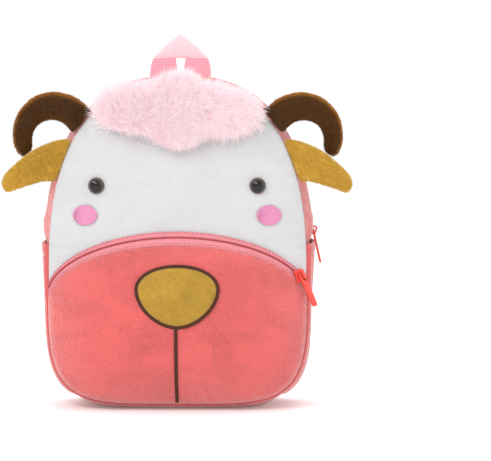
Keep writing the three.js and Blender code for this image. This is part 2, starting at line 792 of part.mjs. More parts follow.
function hornSection(side, inner, outer, halfDepthHere, y) {
  const middle = point((inner.x + outer.x) / 2, y, (inner.z + outer.z) / 2);
  const half = point((outer.x - inner.x) / 2, 0, (outer.z - inner.z) / 2);
  return range(HORN_SIDES).map((corner) => {
    const angle = 2 * Math.PI * corner / HORN_SIDES;
    const placed = middle.clone().addScaledVector(half, Math.cos(angle));
    placed.y += halfDepthHere * Math.sin(angle);
    placed.x *= side;
    return placed;
  });
}

// The root is sewn flat in the front seam, and the curl swings back behind the ear
function horn(side) {
  const rootY = frontSeamY(HORN_CENTRE_Z) - CLOTH / 2;
  const rootInner = besideSeam(HORN_ROOT_BASE, HORN_ROOT_CLEARANCE);
  const rootOuter = besideSeam(HORN_ROOT_TOP, HORN_ROOT_CLEARANCE);
  const root = hornSection(side, rootInner, rootOuter, HORN_ROOT_THICKNESS / 2, rootY);
  const curl = HORN_SECTIONS.map((row) => hornSection(
    side,
    hornCentrePoint(row.inAngle, row.inReach),
    hornCentrePoint(row.outAngle, row.outReach),
    HORN_DEPTH / 2 * row.depth,
    rootY + HORN_TIP_BACK * row.back,
  ));
  return loftSolid([root, ...curl]);
}

// Ears: leaf shapes whose top and bottom edges are given as shares of the length and of the root

const EAR_SECTIONS = [
  { topOut: 0, top: 1, baseOut: 0, base: 0, thickness: 0.5, forward: 0 },
  { topOut: 0.16, top: 0.985, baseOut: 0.08, base: 0, thickness: 0.8, forward: 0.15 },
  { topOut: 0.33, top: 0.9, baseOut: 0.2, base: 0, thickness: 1, forward: 0.3 },
  { topOut: 0.51, top: 0.77, baseOut: 0.34, base: -0.035, thickness: 1.05, forward: 0.5 },
  { topOut: 0.66, top: 0.615, baseOut: 0.5, base: -0.09, thickness: 1, forward: 0.65 },
  { topOut: 0.84, top: 0.38, baseOut: 0.68, base: -0.16, thickness: 0.9, forward: 0.82 },
  { topOut: 0.95, top: 0.19, baseOut: 0.84, base: -0.225, thickness: 0.75, forward: 0.93 },
  { topOut: 1, top: 0.02, baseOut: 0.93, base: -0.2, thickness: 0.4, forward: 1 },
];

function ear(side) {
  const rootTop = besideSeam(EAR_ROOT_TOP, EAR_ROOT_CLEARANCE);
  const rootBase = besideSeam(EAR_ROOT_BASE, EAR_ROOT_CLEARANCE);
  const rootHeight = EAR_ROOT_TOP - EAR_ROOT_BASE;
  const rootY = frontSeamY(EAR_ROOT_TOP) - CLOTH / 2;
  const sections = EAR_SECTIONS.map((row) => {
    const top = { x: rootTop.x + EAR_LENGTH * row.topOut, z: EAR_ROOT_BASE + rootHeight * row.top };
    const baseReach = rootTop.x + EAR_LENGTH - rootBase.x;
    const base = { x: rootBase.x + baseReach * row.baseOut, z: EAR_ROOT_BASE + rootHeight * row.base };
    const y = rootY - EAR_TIP_FORWARD * row.forward;
    const middle = point((top.x + base.x) / 2, y, (top.z + base.z) / 2);
    const half = point((top.x - base.x) / 2, 0, (top.z - base.z) / 2);
    return range(EAR_SIDES).map((corner) => {
      const angle = 2 * Math.PI * corner / EAR_SIDES;
      const placed = middle.clone().addScaledVector(half, Math.cos(angle));
      placed.y += EAR_THICKNESS / 2 * row.thickness * Math.sin(angle);
      placed.x *= side;
      return placed;
    });
  });
  return loftSolid(sections);
}

// Forelock: a padded backing with long locks fused to it

function forelockReach(angle) {
  const bump = (towards, above, below) => {
    const away = Math.atan2(Math.sin(angle - towards), Math.cos(angle - towards));
    const isAbove = Math.sin(angle) > Math.sin(towards);
    const spread = degToRad(isAbove ? above : below);
    return Math.exp(-((away / spread) ** 2));
  };
  const wing = (towards) => FORELOCK_WING * bump(towards, FORELOCK_WING_ABOVE, FORELOCK_WING_BELOW);
  const crown = bump(Math.PI / 2, FORELOCK_CROWN_SPREAD, FORELOCK_CROWN_SPREAD);
  return FORELOCK_CORE + wing(0) + wing(Math.PI) + FORELOCK_CROWN * crown;
}

// The wings' tips stand clear of the horns' roots
const forelockBackY = (x, z) => (
  faceY(x, z) - GAP
  - FORELOCK_WING_STAND * smoothstep(Math.abs(x), FORELOCK_WING_START * FORELOCK_SPAN, FORELOCK_SPAN)
);

function forelockBacking() {
  const outline = range(FORELOCK_BACKING_SIDES).map((index) => {
    const angle = 2 * Math.PI * index / FORELOCK_BACKING_SIDES;
    const reach = FORELOCK_BACKING * forelockReach(angle);
    return { x: reach * Math.cos(angle), z: reach * Math.sin(angle) };
  });
  const depth = (share) => FORELOCK_THICKNESS * (0.2 + 0.6 * Math.sqrt(1 - share ** 2));
  return patchSolid({ x: 0, z: FORELOCK_Z }, outline, [0, 0.5, 0.8, 1], forelockBackY, depth);
}

const LOCK_SECTIONS = [
  { along: 0, size: 0.8, lift: 1 },
  { along: 0.45, size: 1, lift: 0.8 },
  { along: 0.8, size: 0.75, lift: 0.35 },
  { along: 1, size: 0.3, lift: 0 },
];

function lockSolid(angle) {
  const reach = forelockReach(angle);
  const sideways = point(-Math.sin(angle), 0, Math.cos(angle));
  const sections = LOCK_SECTIONS.map(({ along, size, lift }) => {
    const away = reach * lerp(LOCK_ROOT, 1, along);
    const x = away * Math.cos(angle);
    const z = FORELOCK_Z + away * Math.sin(angle);
    const half = LOCK_RADIUS * size;
    const halfDepthHere = LOCK_FLATNESS * half;
    const y = forelockBackY(x, z) - LOCK_CLEARANCE - halfDepthHere - LOCK_STAND * lift;
    return range(LOCK_SIDES).map((corner) => {
      const turn = 2 * Math.PI * corner / LOCK_SIDES;
      const placed = point(x, y, z).addScaledVector(sideways, half * Math.cos(turn));
      placed.y += halfDepthHere * Math.sin(turn);
      return placed;
    });
  });
  return loftSolid(sections);
}

function forelock() {
  const locks = range(FORELOCK_LOCKS).map((index) => {
    const turn = 2 * Math.PI * (index + 0.5) / FORELOCK_LOCKS;
    return lockSolid(turn - LOCK_CROWDING * Math.sin(2 * turn));
  });
  return fuse([forelockBacking(), ...locks]);
}

// Carrying loop: its legs lie flat on the back panel and the top turns a quarter towards the front

function handleLoop() {
  const legX = (HANDLE_WIDTH + HANDLE_LEG_GAP) / 2;
  const baseY = backY(legX, HANDLE_BASE) + GAP + WEBBING / 2 + HANDLE_CLEARANCE;
  const shares = range(HANDLE_CELLS + 1).map((index) => index / HANDLE_CELLS);
  const turn = degToRad(HANDLE_TURN);
  const path = shares.map((share) => {
    const rise = 1 - Math.abs(1 - 2 * share);
    return point(
      -legX * Math.cos(Math.PI * share) - HANDLE_BOW * Math.sin(2 * Math.PI * share),
      baseY + HANDLE_LEAN_BACK * rise,
      HANDLE_BASE + HANDLE_RISE * rise ** HANDLE_ROUNDNESS,
    );
  });
  const acrosses = shares.map((share) => {
    const turned = smoothstep(Math.sin(Math.PI * share), HANDLE_TURN_START, HANDLE_TURN_END);
    return point(Math.cos(Math.PI * share), -Math.sin(turn) * turned, -Math.cos(turn) * turned);
  });
  return ribbonSolid(path, acrosses, HANDLE_WIDTH, WEBBING);
}

// Straps: height and stand-off from the back as shares of the strap's own sizes

const STRAP_SECTIONS = [
  { drop: 0, stand: 0, thickness: 0.25, width: 1 },
  { drop: 0.004, stand: 0.24, thickness: 0.5, width: 1 },
  { drop: 0.035, stand: 0.52, thickness: 0.85, width: 1 },
  { drop: 0.1, stand: 0.74, thickness: 1, width: 1 },
  { drop: 0.2, stand: 0.88, thickness: 1, width: 1 },
  { drop: 0.34, stand: 0.97, thickness: 1, width: 1 },
  { drop: 0.5, stand: 1, thickness: 1, width: 1 },
  { drop: 0.65, stand: 0.98, thickness: 1, width: 1 },
  { drop: 0.8, stand: 0.92, thickness: 1, width: 1 },
  { drop: 0.92, stand: 0.84, thickness: 0.95, width: 1 },
  { drop: 0.975, stand: 0.8, thickness: 0.85, width: 1 },
  { drop: 1, stand: 0.78, thickness: 0.6, width: 0.86 },
];

const strapRootY = backY(STRAP_TOP_WIDTH / 2, STRAP_TOP) + 3 * GAP;

const strapWidth = (drop) => lerp(STRAP_TOP_WIDTH, STRAP_END_WIDTH, drop);

function strapCentre({ drop, stand }) {
  const inner = lerp(STRAP_TOP_GAP, STRAP_END_GAP, drop) / 2;
  const y = strapRootY + STRAP_STAND * stand;
  return point(inner + strapWidth(drop) / 2, y, lerp(STRAP_TOP, STRAP_END, drop));
}

function strap(side) {
  const places = STRAP_SECTIONS.map(strapCentre);
  const sections = STRAP_SECTIONS.map((row, index) => {
    const before = places[Math.max(index - 1, 0)];
    const after = places[Math.min(index + 1, places.length - 1)];
    const along = after.clone().sub(before).normalize();
    const seamTilt = degToRad(lerp(STRAP_SEAM_TILT, 0, smoothstep(row.drop, 0, STRAP_TILT_END)));
    const across = point(Math.cos(seamTilt), 0, -Math.sin(seamTilt));
    across.addScaledVector(along, -across.dot(along)).normalize();
    const out = point().crossVectors(across, along).normalize();
    return range(STRAP_SIDES).map((corner) => {
      const angle = 2 * Math.PI * corner / STRAP_SIDES;
      const wide = Math.sign(Math.cos(angle)) * Math.abs(Math.cos(angle)) ** STRAP_FLAT_POWER;
      const thick = Math.sign(Math.sin(angle)) * Math.abs(Math.sin(angle)) ** STRAP_EDGE_POWER;
      const placed = places[index].clone()
        .addScaledVector(across, strapWidth(row.drop) / 2 * row.width * wide)
        .addScaledVector(out, STRAP_THICKNESS / 2 * row.thickness * thick);
      placed.x *= side;
      return placed;
    });
  });
  return loftSolid(sections);
}

// Buckles: a frame with three windows and a round tongue, hanging below the strap's end

// Webbing passes a gap clear of the plastic on either face, and turns in the windows
const overBar = BUCKLE_THICKNESS / 2 + GAP + WEBBING / 2;
const underSecond = overBar + WEBBING + 2 * GAP;

const strapEnd = strapCentre(STRAP_SECTIONS[STRAP_SECTIONS.length - 1]);
const buckleTurn = degToRad(BUCKLE_TURN);
const buckleY = strapEnd.y + (overBar + underSecond) / 2;

function buckleFrame(side) {
  return {
    origin: point(side * (strapEnd.x + BUCKLE_OUTSET), buckleY, STRAP_END - BUCKLE_DROP),
    across: point(side * Math.cos(buckleTurn), 0, Math.sin(buckleTurn)),
    down: point(side * Math.sin(buckleTurn), 0, -Math.cos(buckleTurn)),
    out: point(0, 1, 0),
  };
}

function bucklePoint(side, out, down) {
  const frame = buckleFrame(side);
  return frame.origin.clone().addScaledVector(frame.out, out).addScaledVector(frame.down, down);
}

const firstBar = BUCKLE_TOP_BAR + BUCKLE_WINDOW_TOP;
const secondBar = firstBar + BUCKLE_BAR + BUCKLE_WINDOW_MIDDLE;
const tongueTop = secondBar + BUCKLE_BAR + BUCKLE_WINDOW_BASE;

function buckle(side) {
  const half = BUCKLE_WIDTH / 2;
  const narrow = half - BUCKLE_TAPER;
  const shape = new THREE.Shape();
  shape.moveTo(-half + BUCKLE_CORNER, 0);
  shape.quadraticCurveTo(-half, 0, -half, -BUCKLE_CORNER);
  shape.lineTo(-narrow, -tongueTop);
  shape.bezierCurveTo(-narrow, -BUCKLE_HEIGHT, -half / 2, -BUCKLE_HEIGHT, 0, -BUCKLE_HEIGHT);
  shape.bezierCurveTo(half / 2, -BUCKLE_HEIGHT, narrow, -BUCKLE_HEIGHT, narrow, -tongueTop);
  shape.lineTo(half, -BUCKLE_CORNER);
  shape.quadraticCurveTo(half, 0, half - BUCKLE_CORNER, 0);
  const windows = [
    { from: BUCKLE_TOP_BAR, to: firstBar },
    { from: firstBar + BUCKLE_BAR, to: secondBar },
    { from: secondBar + BUCKLE_BAR, to: tongueTop },
  ];
  const inner = half - BUCKLE_FRAME;
  const { origin, across, down, out } = buckleFrame(side);
  const axes = { origin, right: across, up: down.clone().negate(), out };
  const holes = windows.map(({ from, to }) => plateSolid(new THREE.Shape([
    new THREE.Vector2(-inner, -from),
    new THREE.Vector2(-inner, -to),
    new THREE.Vector2(inner, -to),
    new THREE.Vector2(inner, -from),
  ]), 2 * BUCKLE_THICKNESS, axes));
  return cut(plateSolid(shape, BUCKLE_THICKNESS, axes), holes);
}

const webbingSolid = (path, acrosses) => (
  ribbonSolid(path, acrosses, STRAP_WEBBING_WIDTH, WEBBING)
);

// The tab is sewn in the strap's end and loops round the buckle's first bar
function strapTab(side) {
  const { across } = buckleFrame(side);
  const route = [
    { out: -overBar, down: -BUCKLE_DROP + TAB_SEAT },
    { out: -overBar, down: BUCKLE_TOP_BAR + TAB_ENTRY },
    { out: overBar, down: firstBar - BAR_CROSSING },
    { out: overBar, down: firstBar + BUCKLE_BAR + TAB_TURN },
    { out: -underSecond, down: firstBar + BUCKLE_BAR + TAB_TURN + BAR_CROSSING },
    { out: -underSecond, down: -BUCKLE_DROP + TAB_SEAT },
  ];
  const path = route.map(({ out, down }) => bucklePoint(side, out, down));
  return webbingSolid(path, path.map(() => across));
}

// The anchor comes up from the bag's lower seam, turns over the second bar and leaves a free tail
function anchorWebbing(side) {
  const { across } = buckleFrame(side);
  const route = [
    { out: -overBar, down: BUCKLE_HEIGHT + ANCHOR_CLEARANCE },
    { out: -overBar, down: secondBar + BUCKLE_BAR + ANCHOR_ENTRY },
    { out: overBar, down: secondBar + BUCKLE_BAR + BAR_CROSSING },
    { out: overBar, down: secondBar - BAR_CROSSING },
    { out: -underSecond, down: secondBar - ANCHOR_RETURN },
    { out: -underSecond, down: secondBar + ANCHOR_TAIL },
  ];
  const path = route.map(({ out, down }) => bucklePoint(side, out, down));
  const rootY = backY(ANCHOR_X, ANCHOR_Z) + GAP + WEBBING;
  const root = point(side * ANCHOR_X, rootY, ANCHOR_Z);
  const turned = degToRad(ANCHOR_TURN);
  const rootAcross = point(side * Math.cos(turned), 0, Math.sin(turned));
  return webbingSolid(
    [...path, path[path.length - 1].clone().lerp(root, 0.5), root],
    [...path.map(() => across), across.clone().lerp(rootAcross, 0.6), rootAcross],
  );
}

// Zip sliders and pulls. Each stands on a frame: travel along the zip, out of the cloth, and across.

function sliderFrame(origin, out, travel) {
  const straight = travel.clone().addScaledVector(out, -travel.dot(out)).normalize();
  return { origin, out, travel: straight, across: point().crossVectors(straight, out) };
}

function pocketSliderFrame() {
  const onCoil = (aside, below) => (
    pocketZipPoint(POCKET_SLIDER_SHARE + aside, POCKET_COIL_SHARE + below, 1, 0)
  );
  const place = onCoil(0, 0);
  const aside = onCoil(0.02, 0).sub(place);
  const below = onCoil(0, 0.1).sub(place);
  const out = point().crossVectors(aside, below).normalize();
  if (out.y > 0) out.negate();
  const lean = degToRad(POCKET_PULL_LEAN);
  const origin = place.addScaledVector(out, GAP + SLIDER_PLATE / 2);
  return sliderFrame(origin, out, point(Math.sin(lean), 0, -Math.cos(lean)));
}

function mainSliderFrame() {
  const onCoil = (z) => {
    const x = seamHalfWidth(z);
    return gussetPoint({ x, z, normal: seamNormal(x, z) }, 0.5, ZIP_COIL - MAIN_ZIP_RECESS);
  };
  const z = MAIN_ZIP_END + MAIN_SLIDER_RISE;
  const travel = onCoil(z - SLIDER_LENGTH / 2).sub(onCoil(z + SLIDER_LENGTH / 2)).normalize();
  const out = point(-travel.z, 0, travel.x);
  const origin = onCoil(z).addScaledVector(out, MAIN_SLIDER_CLEARANCE + SLIDER_PLATE / 2);
  return sliderFrame(origin, out, travel);
}

function boxSolid(frame, travelSize, acrossSize, outSize, outCentre) {
  const geometry = new THREE.BoxGeometry(travelSize, acrossSize, outSize);
  const centre = frame.origin.clone().addScaledVector(frame.out, outCentre);
  const placing = new THREE.Matrix4().makeBasis(frame.travel, frame.across, frame.out).setPosition(centre);
  geometry.applyMatrix4(placing);
  return facesOutward(geometry);
}

// A plate over the coil with a bridge that carries the pull
function slider(frame) {
  const half = BRIDGE_HALF_LENGTH + BRIDGE_WALL;
  const top = BRIDGE_HEIGHT + BRIDGE_WALL;
  const bridge = new THREE.Shape([
    new THREE.Vector2(-half, -BRIDGE_FOOT),
    new THREE.Vector2(-half, top - BRIDGE_CHAMFER),
    new THREE.Vector2(-half + BRIDGE_CHAMFER, top),
    new THREE.Vector2(half - BRIDGE_CHAMFER, top),
    new THREE.Vector2(half, top - BRIDGE_CHAMFER),
    new THREE.Vector2(half, -BRIDGE_FOOT),
    new THREE.Vector2(BRIDGE_HALF_LENGTH, -BRIDGE_FOOT),
    new THREE.Vector2(BRIDGE_HALF_LENGTH, BRIDGE_HEIGHT),
    new THREE.Vector2(-BRIDGE_HALF_LENGTH, BRIDGE_HEIGHT),
    new THREE.Vector2(-BRIDGE_HALF_LENGTH, -BRIDGE_FOOT),
  ]);
  const base = frame.origin.clone().addScaledVector(frame.out, SLIDER_PLATE / 2);
  const axes = { origin: base, right: frame.travel, up: frame.out, out: frame.across };
  const plate = boxSolid(frame, SLIDER_LENGTH, SLIDER_WIDTH, SLIDER_PLATE, 0);
  return fuse([plate, plateSolid(bridge, BRIDGE_WIDTH, axes)]);
}

// The middle of the pull's crossbar, which turns inside the slider's bridge
function hingePoint(frame) {
  return frame.origin.clone().addScaledVector(frame.out, SLIDER_PLATE / 2 + BRIDGE_HEIGHT / 2);
}

// A stirrup and tongue, leaning out of the zip's surface by an angle at rest
function pull(frame, lean) {
  const bar = PULL_THICKNESS / 2;
  const neck = PULL_HOLE_HALF_WIDTH + PULL_RIM;
  const shape = new THREE.Shape();
  shape.moveTo(-bar, -neck);
  shape.lineTo(PULL_NECK_START, -neck);
  shape.lineTo(PULL_NECK_END, -PULL_HALF_WIDTH);
  shape.lineTo(PULL_LENGTH - PULL_TIP, -PULL_HALF_WIDTH);
  shape.quadraticCurveTo(PULL_LENGTH, -PULL_HALF_WIDTH, PULL_LENGTH, 0);
  shape.quadraticCurveTo(PULL_LENGTH, PULL_HALF_WIDTH, PULL_LENGTH - PULL_TIP, PULL_HALF_WIDTH);
  shape.lineTo(PULL_NECK_END, PULL_HALF_WIDTH);
  shape.lineTo(PULL_NECK_START, neck);
  shape.lineTo(-bar, neck);
  shape.holes = [new THREE.Path([
    new THREE.Vector2(bar, -PULL_HOLE_HALF_WIDTH),
    new THREE.Vector2(bar, PULL_HOLE_HALF_WIDTH),
    new THREE.Vector2(PULL_HOLE, PULL_HOLE_HALF_WIDTH),
    new THREE.Vector2(PULL_HOLE, -PULL_HOLE_HALF_WIDTH),
  ])];
  const turned = degToRad(lean);
  const right = frame.travel.clone().multiplyScalar(Math.cos(turned))
    .addScaledVector(frame.out, Math.sin(turned));
  const out = point().crossVectors(right, frame.across);
  const axes = { origin: hingePoint(frame), right, up: frame.across, out };
  return plateSolid(shape, PULL_THICKNESS, axes);
}

// Finishes

const finish = (color, roughness, metalness = 0) => new THREE.MeshStandardMaterial({
  color, roughness, metalness, flatShading: true,
});
const coralPlush = finish(0xea7273, 0.9);
const whitePlush = finish(0xe9e8e8, 0.9);
const mustardPlush = finish(0xc69d44, 0.9);
const brownPlush = finish(0x5a3a1f, 0.9);
const pinkFur = finish(0xfbd8de, 0.95);
const pinkWebbing = finish(0xf7b4c2, 0.8);
const pinkPlastic = finish(0xf4bfcd, 0.4);
const blackPlastic = finish(0x1a1613, 0.1);
const pinkStitching = finish(0xe997c8, 0.7);
const brownStitching = finish(0x3c1c10, 0.6);
const coralTape = finish(0xf08c90, 0.8);
const redMetal = finish(0xe4493c, 0.35, 0.3);

const pocketSlide = pocketSliderFrame();
const mainSlide = mainSliderFrame();

const PIECES = {
  face_panel: [facePanel(), whitePlush],
  muzzle_pocket: [muzzlePocket(), coralPlush],
  pocket_zipper: [pocketZipper(), coralTape],
  gusset: [gusset(), coralPlush],
  main_zipper: [mainZipper(), coralTape],
  back_panel: [backPanel(), coralPlush],
  side_pocket_right: [sidePocket(1), coralPlush],
  side_pocket_left: [sidePocket(-1), coralPlush],
  horn_right: [horn(1), brownPlush],
  horn_left: [horn(-1), brownPlush],
  ear_right: [ear(1), mustardPlush],
  ear_left: [ear(-1), mustardPlush],
  forelock: [forelock(), pinkFur],
  eye_right: [eye(1), blackPlastic],
  eye_left: [eye(-1), blackPlastic],
  cheek_right: [cheek(1), pinkStitching],
  cheek_left: [cheek(-1), pinkStitching],
  nose_patch: [nosePatch(), mustardPlush],
  nose_outline: [noseLine(), brownStitching],
  mouth_line: [mouthLine(), brownStitching],
  handle_loop: [handleLoop(), pinkWebbing],
  strap_right: [strap(1), mustardPlush],
  strap_left: [strap(-1), mustardPlush],
  strap_tab_right: [strapTab(1), pinkWebbing],
  strap_tab_left: [strapTab(-1), pinkWebbing],
  buckle_right: [buckle(1), pinkPlastic],
  buckle_left: [buckle(-1), pinkPlastic],
  anchor_webbing_right: [anchorWebbing(1), pinkWebbing],
  anchor_webbing_left: [anchorWebbing(-1), pinkWebbing],
  pocket_slider: [slider(pocketSlide), redMetal],
  pocket_pull: [pull(pocketSlide, 0), redMetal],
  main_slider: [slider(mainSlide), redMetal],
  main_pull: [pull(mainSlide, MAIN_PULL_LEAN), redMetal],
};

const backpack = new THREE.Group();
for (const [name, [geometry, material]] of Object.entries(PIECES)) {
  geometry.computeVertexNormals();
  const mesh = new THREE.Mesh(geometry, material);
  mesh.name = name;
  backpack.add(mesh);
}

export default backpack;
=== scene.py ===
# The looks of a small child's plush backpack with a ram's face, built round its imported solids.
# Lengths are metres, +Z is up, the face looks along -Y and the straps are on +Y.

import json
import math

import bmesh
import bpy
import numpy as np
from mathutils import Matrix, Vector


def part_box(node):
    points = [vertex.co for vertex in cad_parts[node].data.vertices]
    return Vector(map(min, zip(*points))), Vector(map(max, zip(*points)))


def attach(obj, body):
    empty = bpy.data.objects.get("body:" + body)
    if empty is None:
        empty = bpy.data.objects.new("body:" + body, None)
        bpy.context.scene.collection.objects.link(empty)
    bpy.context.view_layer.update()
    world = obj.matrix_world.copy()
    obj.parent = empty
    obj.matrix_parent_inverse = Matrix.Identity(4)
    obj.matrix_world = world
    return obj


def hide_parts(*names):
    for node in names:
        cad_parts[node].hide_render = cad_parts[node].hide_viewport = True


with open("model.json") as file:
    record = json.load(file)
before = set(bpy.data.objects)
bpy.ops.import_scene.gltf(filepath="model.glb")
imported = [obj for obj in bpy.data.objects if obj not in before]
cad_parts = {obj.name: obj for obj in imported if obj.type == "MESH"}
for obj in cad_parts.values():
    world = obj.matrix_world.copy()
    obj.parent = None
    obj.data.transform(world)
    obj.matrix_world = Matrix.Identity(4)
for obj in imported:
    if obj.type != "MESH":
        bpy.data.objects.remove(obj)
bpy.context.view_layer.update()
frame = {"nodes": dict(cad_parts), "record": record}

bl_info = {
    "name": "Plush ram backpack",
    "version": (1, 0, 0),
    "blender": (4, 5, 0),
    "location": "3D View > Sidebar > Backpack",
    "description": "Dresses a child's plush backpack in cloth, fur, zips, webbing and buckles",
    "category": "Object",
}

SEED = 7

# The seam line that both panels and the gusset share, seen from the front
SEAM_HALF_WIDTH = 0.101
SEAM_TOP = 0.256
SEAM_BASE = 0.005
SEAM_WIDEST = 0.110
SEAM_TOP_ROUNDNESS = 2.5
SEAM_BASE_ROUNDNESS = 4.6
DEPTH_AT_BASE = 0.080
DEPTH_AT_TOP = 0.062

# Cloth and clearances
CLOTH = 0.0025
POCKET_CLOTH = 0.002
WEBBING = 0.0016
TAPE = 0.0012
EMBROIDERY = 0.0009
GAP = 0.0003
CLOTH_WALL = CLOTH * 0.8
POCKET_CLOTH_WALL = POCKET_CLOTH * 0.75
TAPE_WALL = TAPE * 0.7

# Gathers beside a seam, and low soft hills over a panel
GATHER_SPACING = 0.0105
PANEL_GATHER_RISE = 0.003
PANEL_GATHER_FADE = 0.0075
PANEL_GATHER_MOST = 0.0012
PANEL_HILL_SPACING = 0.07
PANEL_HILL_FADE = 0.03
GUSSET_GATHER_RISE = 0.002
GUSSET_GATHER_FADE = 0.007
GUSSET_HILL_SPACING = 0.05

# Panels
FACE_CENTRE = 0.130
FACE_CROWN = 0.012
FACE_FULLNESS = 3.5
BACK_CENTRE = 0.130
BACK_CROWN = 0.006
BACK_FULLNESS = 3

# Gusset and side pockets
GUSSET_SWELL = 0.0055
GUSSET_SQUARENESS = 0.75
GUSSET_HEIGHTS = (0, 0.03, 0.1, 0.2, 0.3, 0.5, 0.57, 0.85, 1)
GUSSET_SWELLS = (1.8, 1.1, 0.6, 0, -0.3, -0.3, 0.95, 1, 0.9)
GUSSET_COLUMNS = 480
GUSSET_ROWS = (
    0, 0.006, 0.015, 0.03, 0.05, 0.08, 0.115, 0.155, 0.2, 0.25, 0.3, 0.35, 0.385, 0.405,
    0.414, 0.419, 0.422, 0.423,
)
GUSSET_LIPS = (0, 0, 0, 0, 0, 0, 0, 0, 0, 0, 0, 0, 0.0002, 0.0006, 0.0006, 0.0001, -0.0006, -0.0016)
GUSSET_BULGE_ROW = 0.22
GUSSET_BULGE_SPREAD = 0.13
GUSSET_BULGE = 0.0046
GUSSET_BULGE_Z = 0.135
GUSSET_BULGE_HEIGHT = 0.013
GUSSET_UPPER_BULGE = 0.0016
SIDE_POCKET_BASE = 0.014
SIDE_POCKET_MOUTH = 0.130
SIDE_POCKET_STAND = 0.0064
SIDE_POCKET_SEWN = 0.0002
SIDE_POCKET_RISE = 0.9
SIDE_POCKET_SQUARENESS = 0.4
SIDE_POCKET_EDGE = 0.006
SIDE_POCKET_HEM = 0.009
SIDE_POCKET_HEM_DEPTH = 0.0009
SIDE_POCKET_GATHER = 0.0006
SIDE_POCKET_DRAPE = 0.0009
SIDE_POCKET_CURVE = 0.08
MAIN_ZIP_END = 0.133
MAIN_ZIP_RECESS = 0.0007

# Muzzle pocket and the arch of its zip
ARCH_HALF_WIDTH = 0.104
ARCH_RISE = 0.0525
ARCH_CENTRE = 0.088
ZIP_BAND = 0.010
POCKET_EDGE_SINK = 0.003
POCKET_CENTRE = 0.075
POCKET_SWELL = 0.020
POCKET_FULLNESS = 2.6
POCKET_RIM_LIFT = 0.008
POCKET_RIM_POWER = 1.5
POCKET_RIM_SQUARENESS = 0.5
POCKET_CORNER_FADE = 0.004
POCKET_SEAM_OUTSET = 0.0007
WELT_RADIUS = 0.0012
WELT_STAND = 0.0012
WELT_BACK = 0.0012

# Coils and rows of stitches on the zips
COIL_WIDTH = 0.0017
COIL_HEIGHT = 0.0013
COIL_SLANT = 0.35
MAIN_TAPE_ROWS = (0.425, 0.44, 0.46, 0.475, 0.485, 0.5, 0.515, 0.525, 0.54, 0.56, 0.575)
POCKET_TAPE_ROWS = (0, 0.02, 0.12, 0.24, 0.34, 0.4, 0.44, 0.47, 0.5, 0.54, 0.6, 0.72, 0.85, 0.95, 1)
POCKET_TAPE_HUMPS = (0, 0, 0, 0, 0, 0, 0.0003, 0.0003, 0.0003, 0, 0, 0, 0, 0, 0)
PULL_TAPER = 0.62

# Trims on the face and the muzzle
NOSE_CENTRE_X = 0.001
NOSE_CENTRE_Z = 0.097
NOSE_HALF_WIDTH = 0.0329
NOSE_UP = 0.019
NOSE_DOWN = 0.0308
NOSE_TOP_ROUNDNESS = 2
NOSE_BASE_ROUNDNESS = 1.8
NOSE_LINE = 0.0023
NOSE_PAD = 0.0016
CHEEK_Z = 0.153
CHEEK_HALF_WIDTH = 0.0098
CHEEK_HALF_HEIGHT = 0.0078
NOSE_SHARES = (1, 1, 0.97, 0.93, 0.87, 0.78, 0.66, 0.52, 0.36, 0.2, 0)
NOSE_LIFTS = (0, 0.5, 0.85, 1, 1.05, 1.1, 1.12, 1.15, 1.15, 1.15, 1.15)

# Horns
HORN_CENTRE_X = 0.098
HORN_CENTRE_Z = 0.213
HORN_REACH = 0.036
HORN_DEPTH = 0.020
HORN_ROOT_BASE = 0.215
HORN_ROOT_TOP = 0.236
HORN_TIP_BACK = 0.011
HORN_ROOT_MIDDLE = 0.226
HORN_ROOT_CLEARANCE = 0.0014
HORN_PILE_DENSITY = 2.2e6
HORN_PILE_WIDTH = 0.00042
HORN_ROOT_THICKNESS = 0.0013
HORN_SECTIONS = {
    "in_angle": (14, 30, 55, 85, 113, 138, 162, 185, 202, 212),
    "in_reach": (0.42, 0.4, 0.385, 0.38, 0.395, 0.42, 0.445, 0.465, 0.5, 0.58),
    "out_angle": (44, 55, 70, 90, 113, 138, 162, 185, 202, 212),
    "out_reach": (1.03, 1.02, 1.005, 1, 0.98, 0.945, 0.91, 0.885, 0.865, 0.81),
    "depth": (0.5, 0.85, 1, 1.03, 0.98, 0.88, 0.8, 0.74, 0.66, 0.4),
    "back": (0.02, 0.06, 0.15, 0.3, 0.45, 0.6, 0.75, 0.88, 0.96, 1),
}

# Ears
EAR_ROOT_TOP = 0.213
EAR_ROOT_BASE = 0.178
EAR_LENGTH = 0.0545
EAR_THICKNESS = 0.011
EAR_TIP_FORWARD = 0.011
EAR_CLEARANCE = 0.0023
EAR_FOLD = 0.0016
EAR_FOLD_Z = 0.196
EAR_FOLD_DROP = 0.022
EAR_FOLD_HEIGHT = 0.006
EAR_PILE_DENSITY = 2.4e6
EAR_PILE_WIDTH = 0.0004
EAR_ROOT_START = 0.0006
EAR_ROOT_THICKNESS = 0.0014
EAR_SECTIONS = {
    "top_out": (0, 0.16, 0.33, 0.51, 0.66, 0.84, 0.95, 1),
    "top": (1, 0.985, 0.9, 0.77, 0.615, 0.38, 0.19, 0.02),
    "base_out": (0, 0.08, 0.2, 0.34, 0.5, 0.68, 0.84, 0.93),
    "base": (0, 0, 0, -0.035, -0.09, -0.16, -0.225, -0.2),
    "thickness": (0.5, 0.8, 1, 1.05, 1, 0.9, 0.75, 0.4),
    "forward": (0, 0.15, 0.3, 0.5, 0.65, 0.82, 0.93, 1),
}

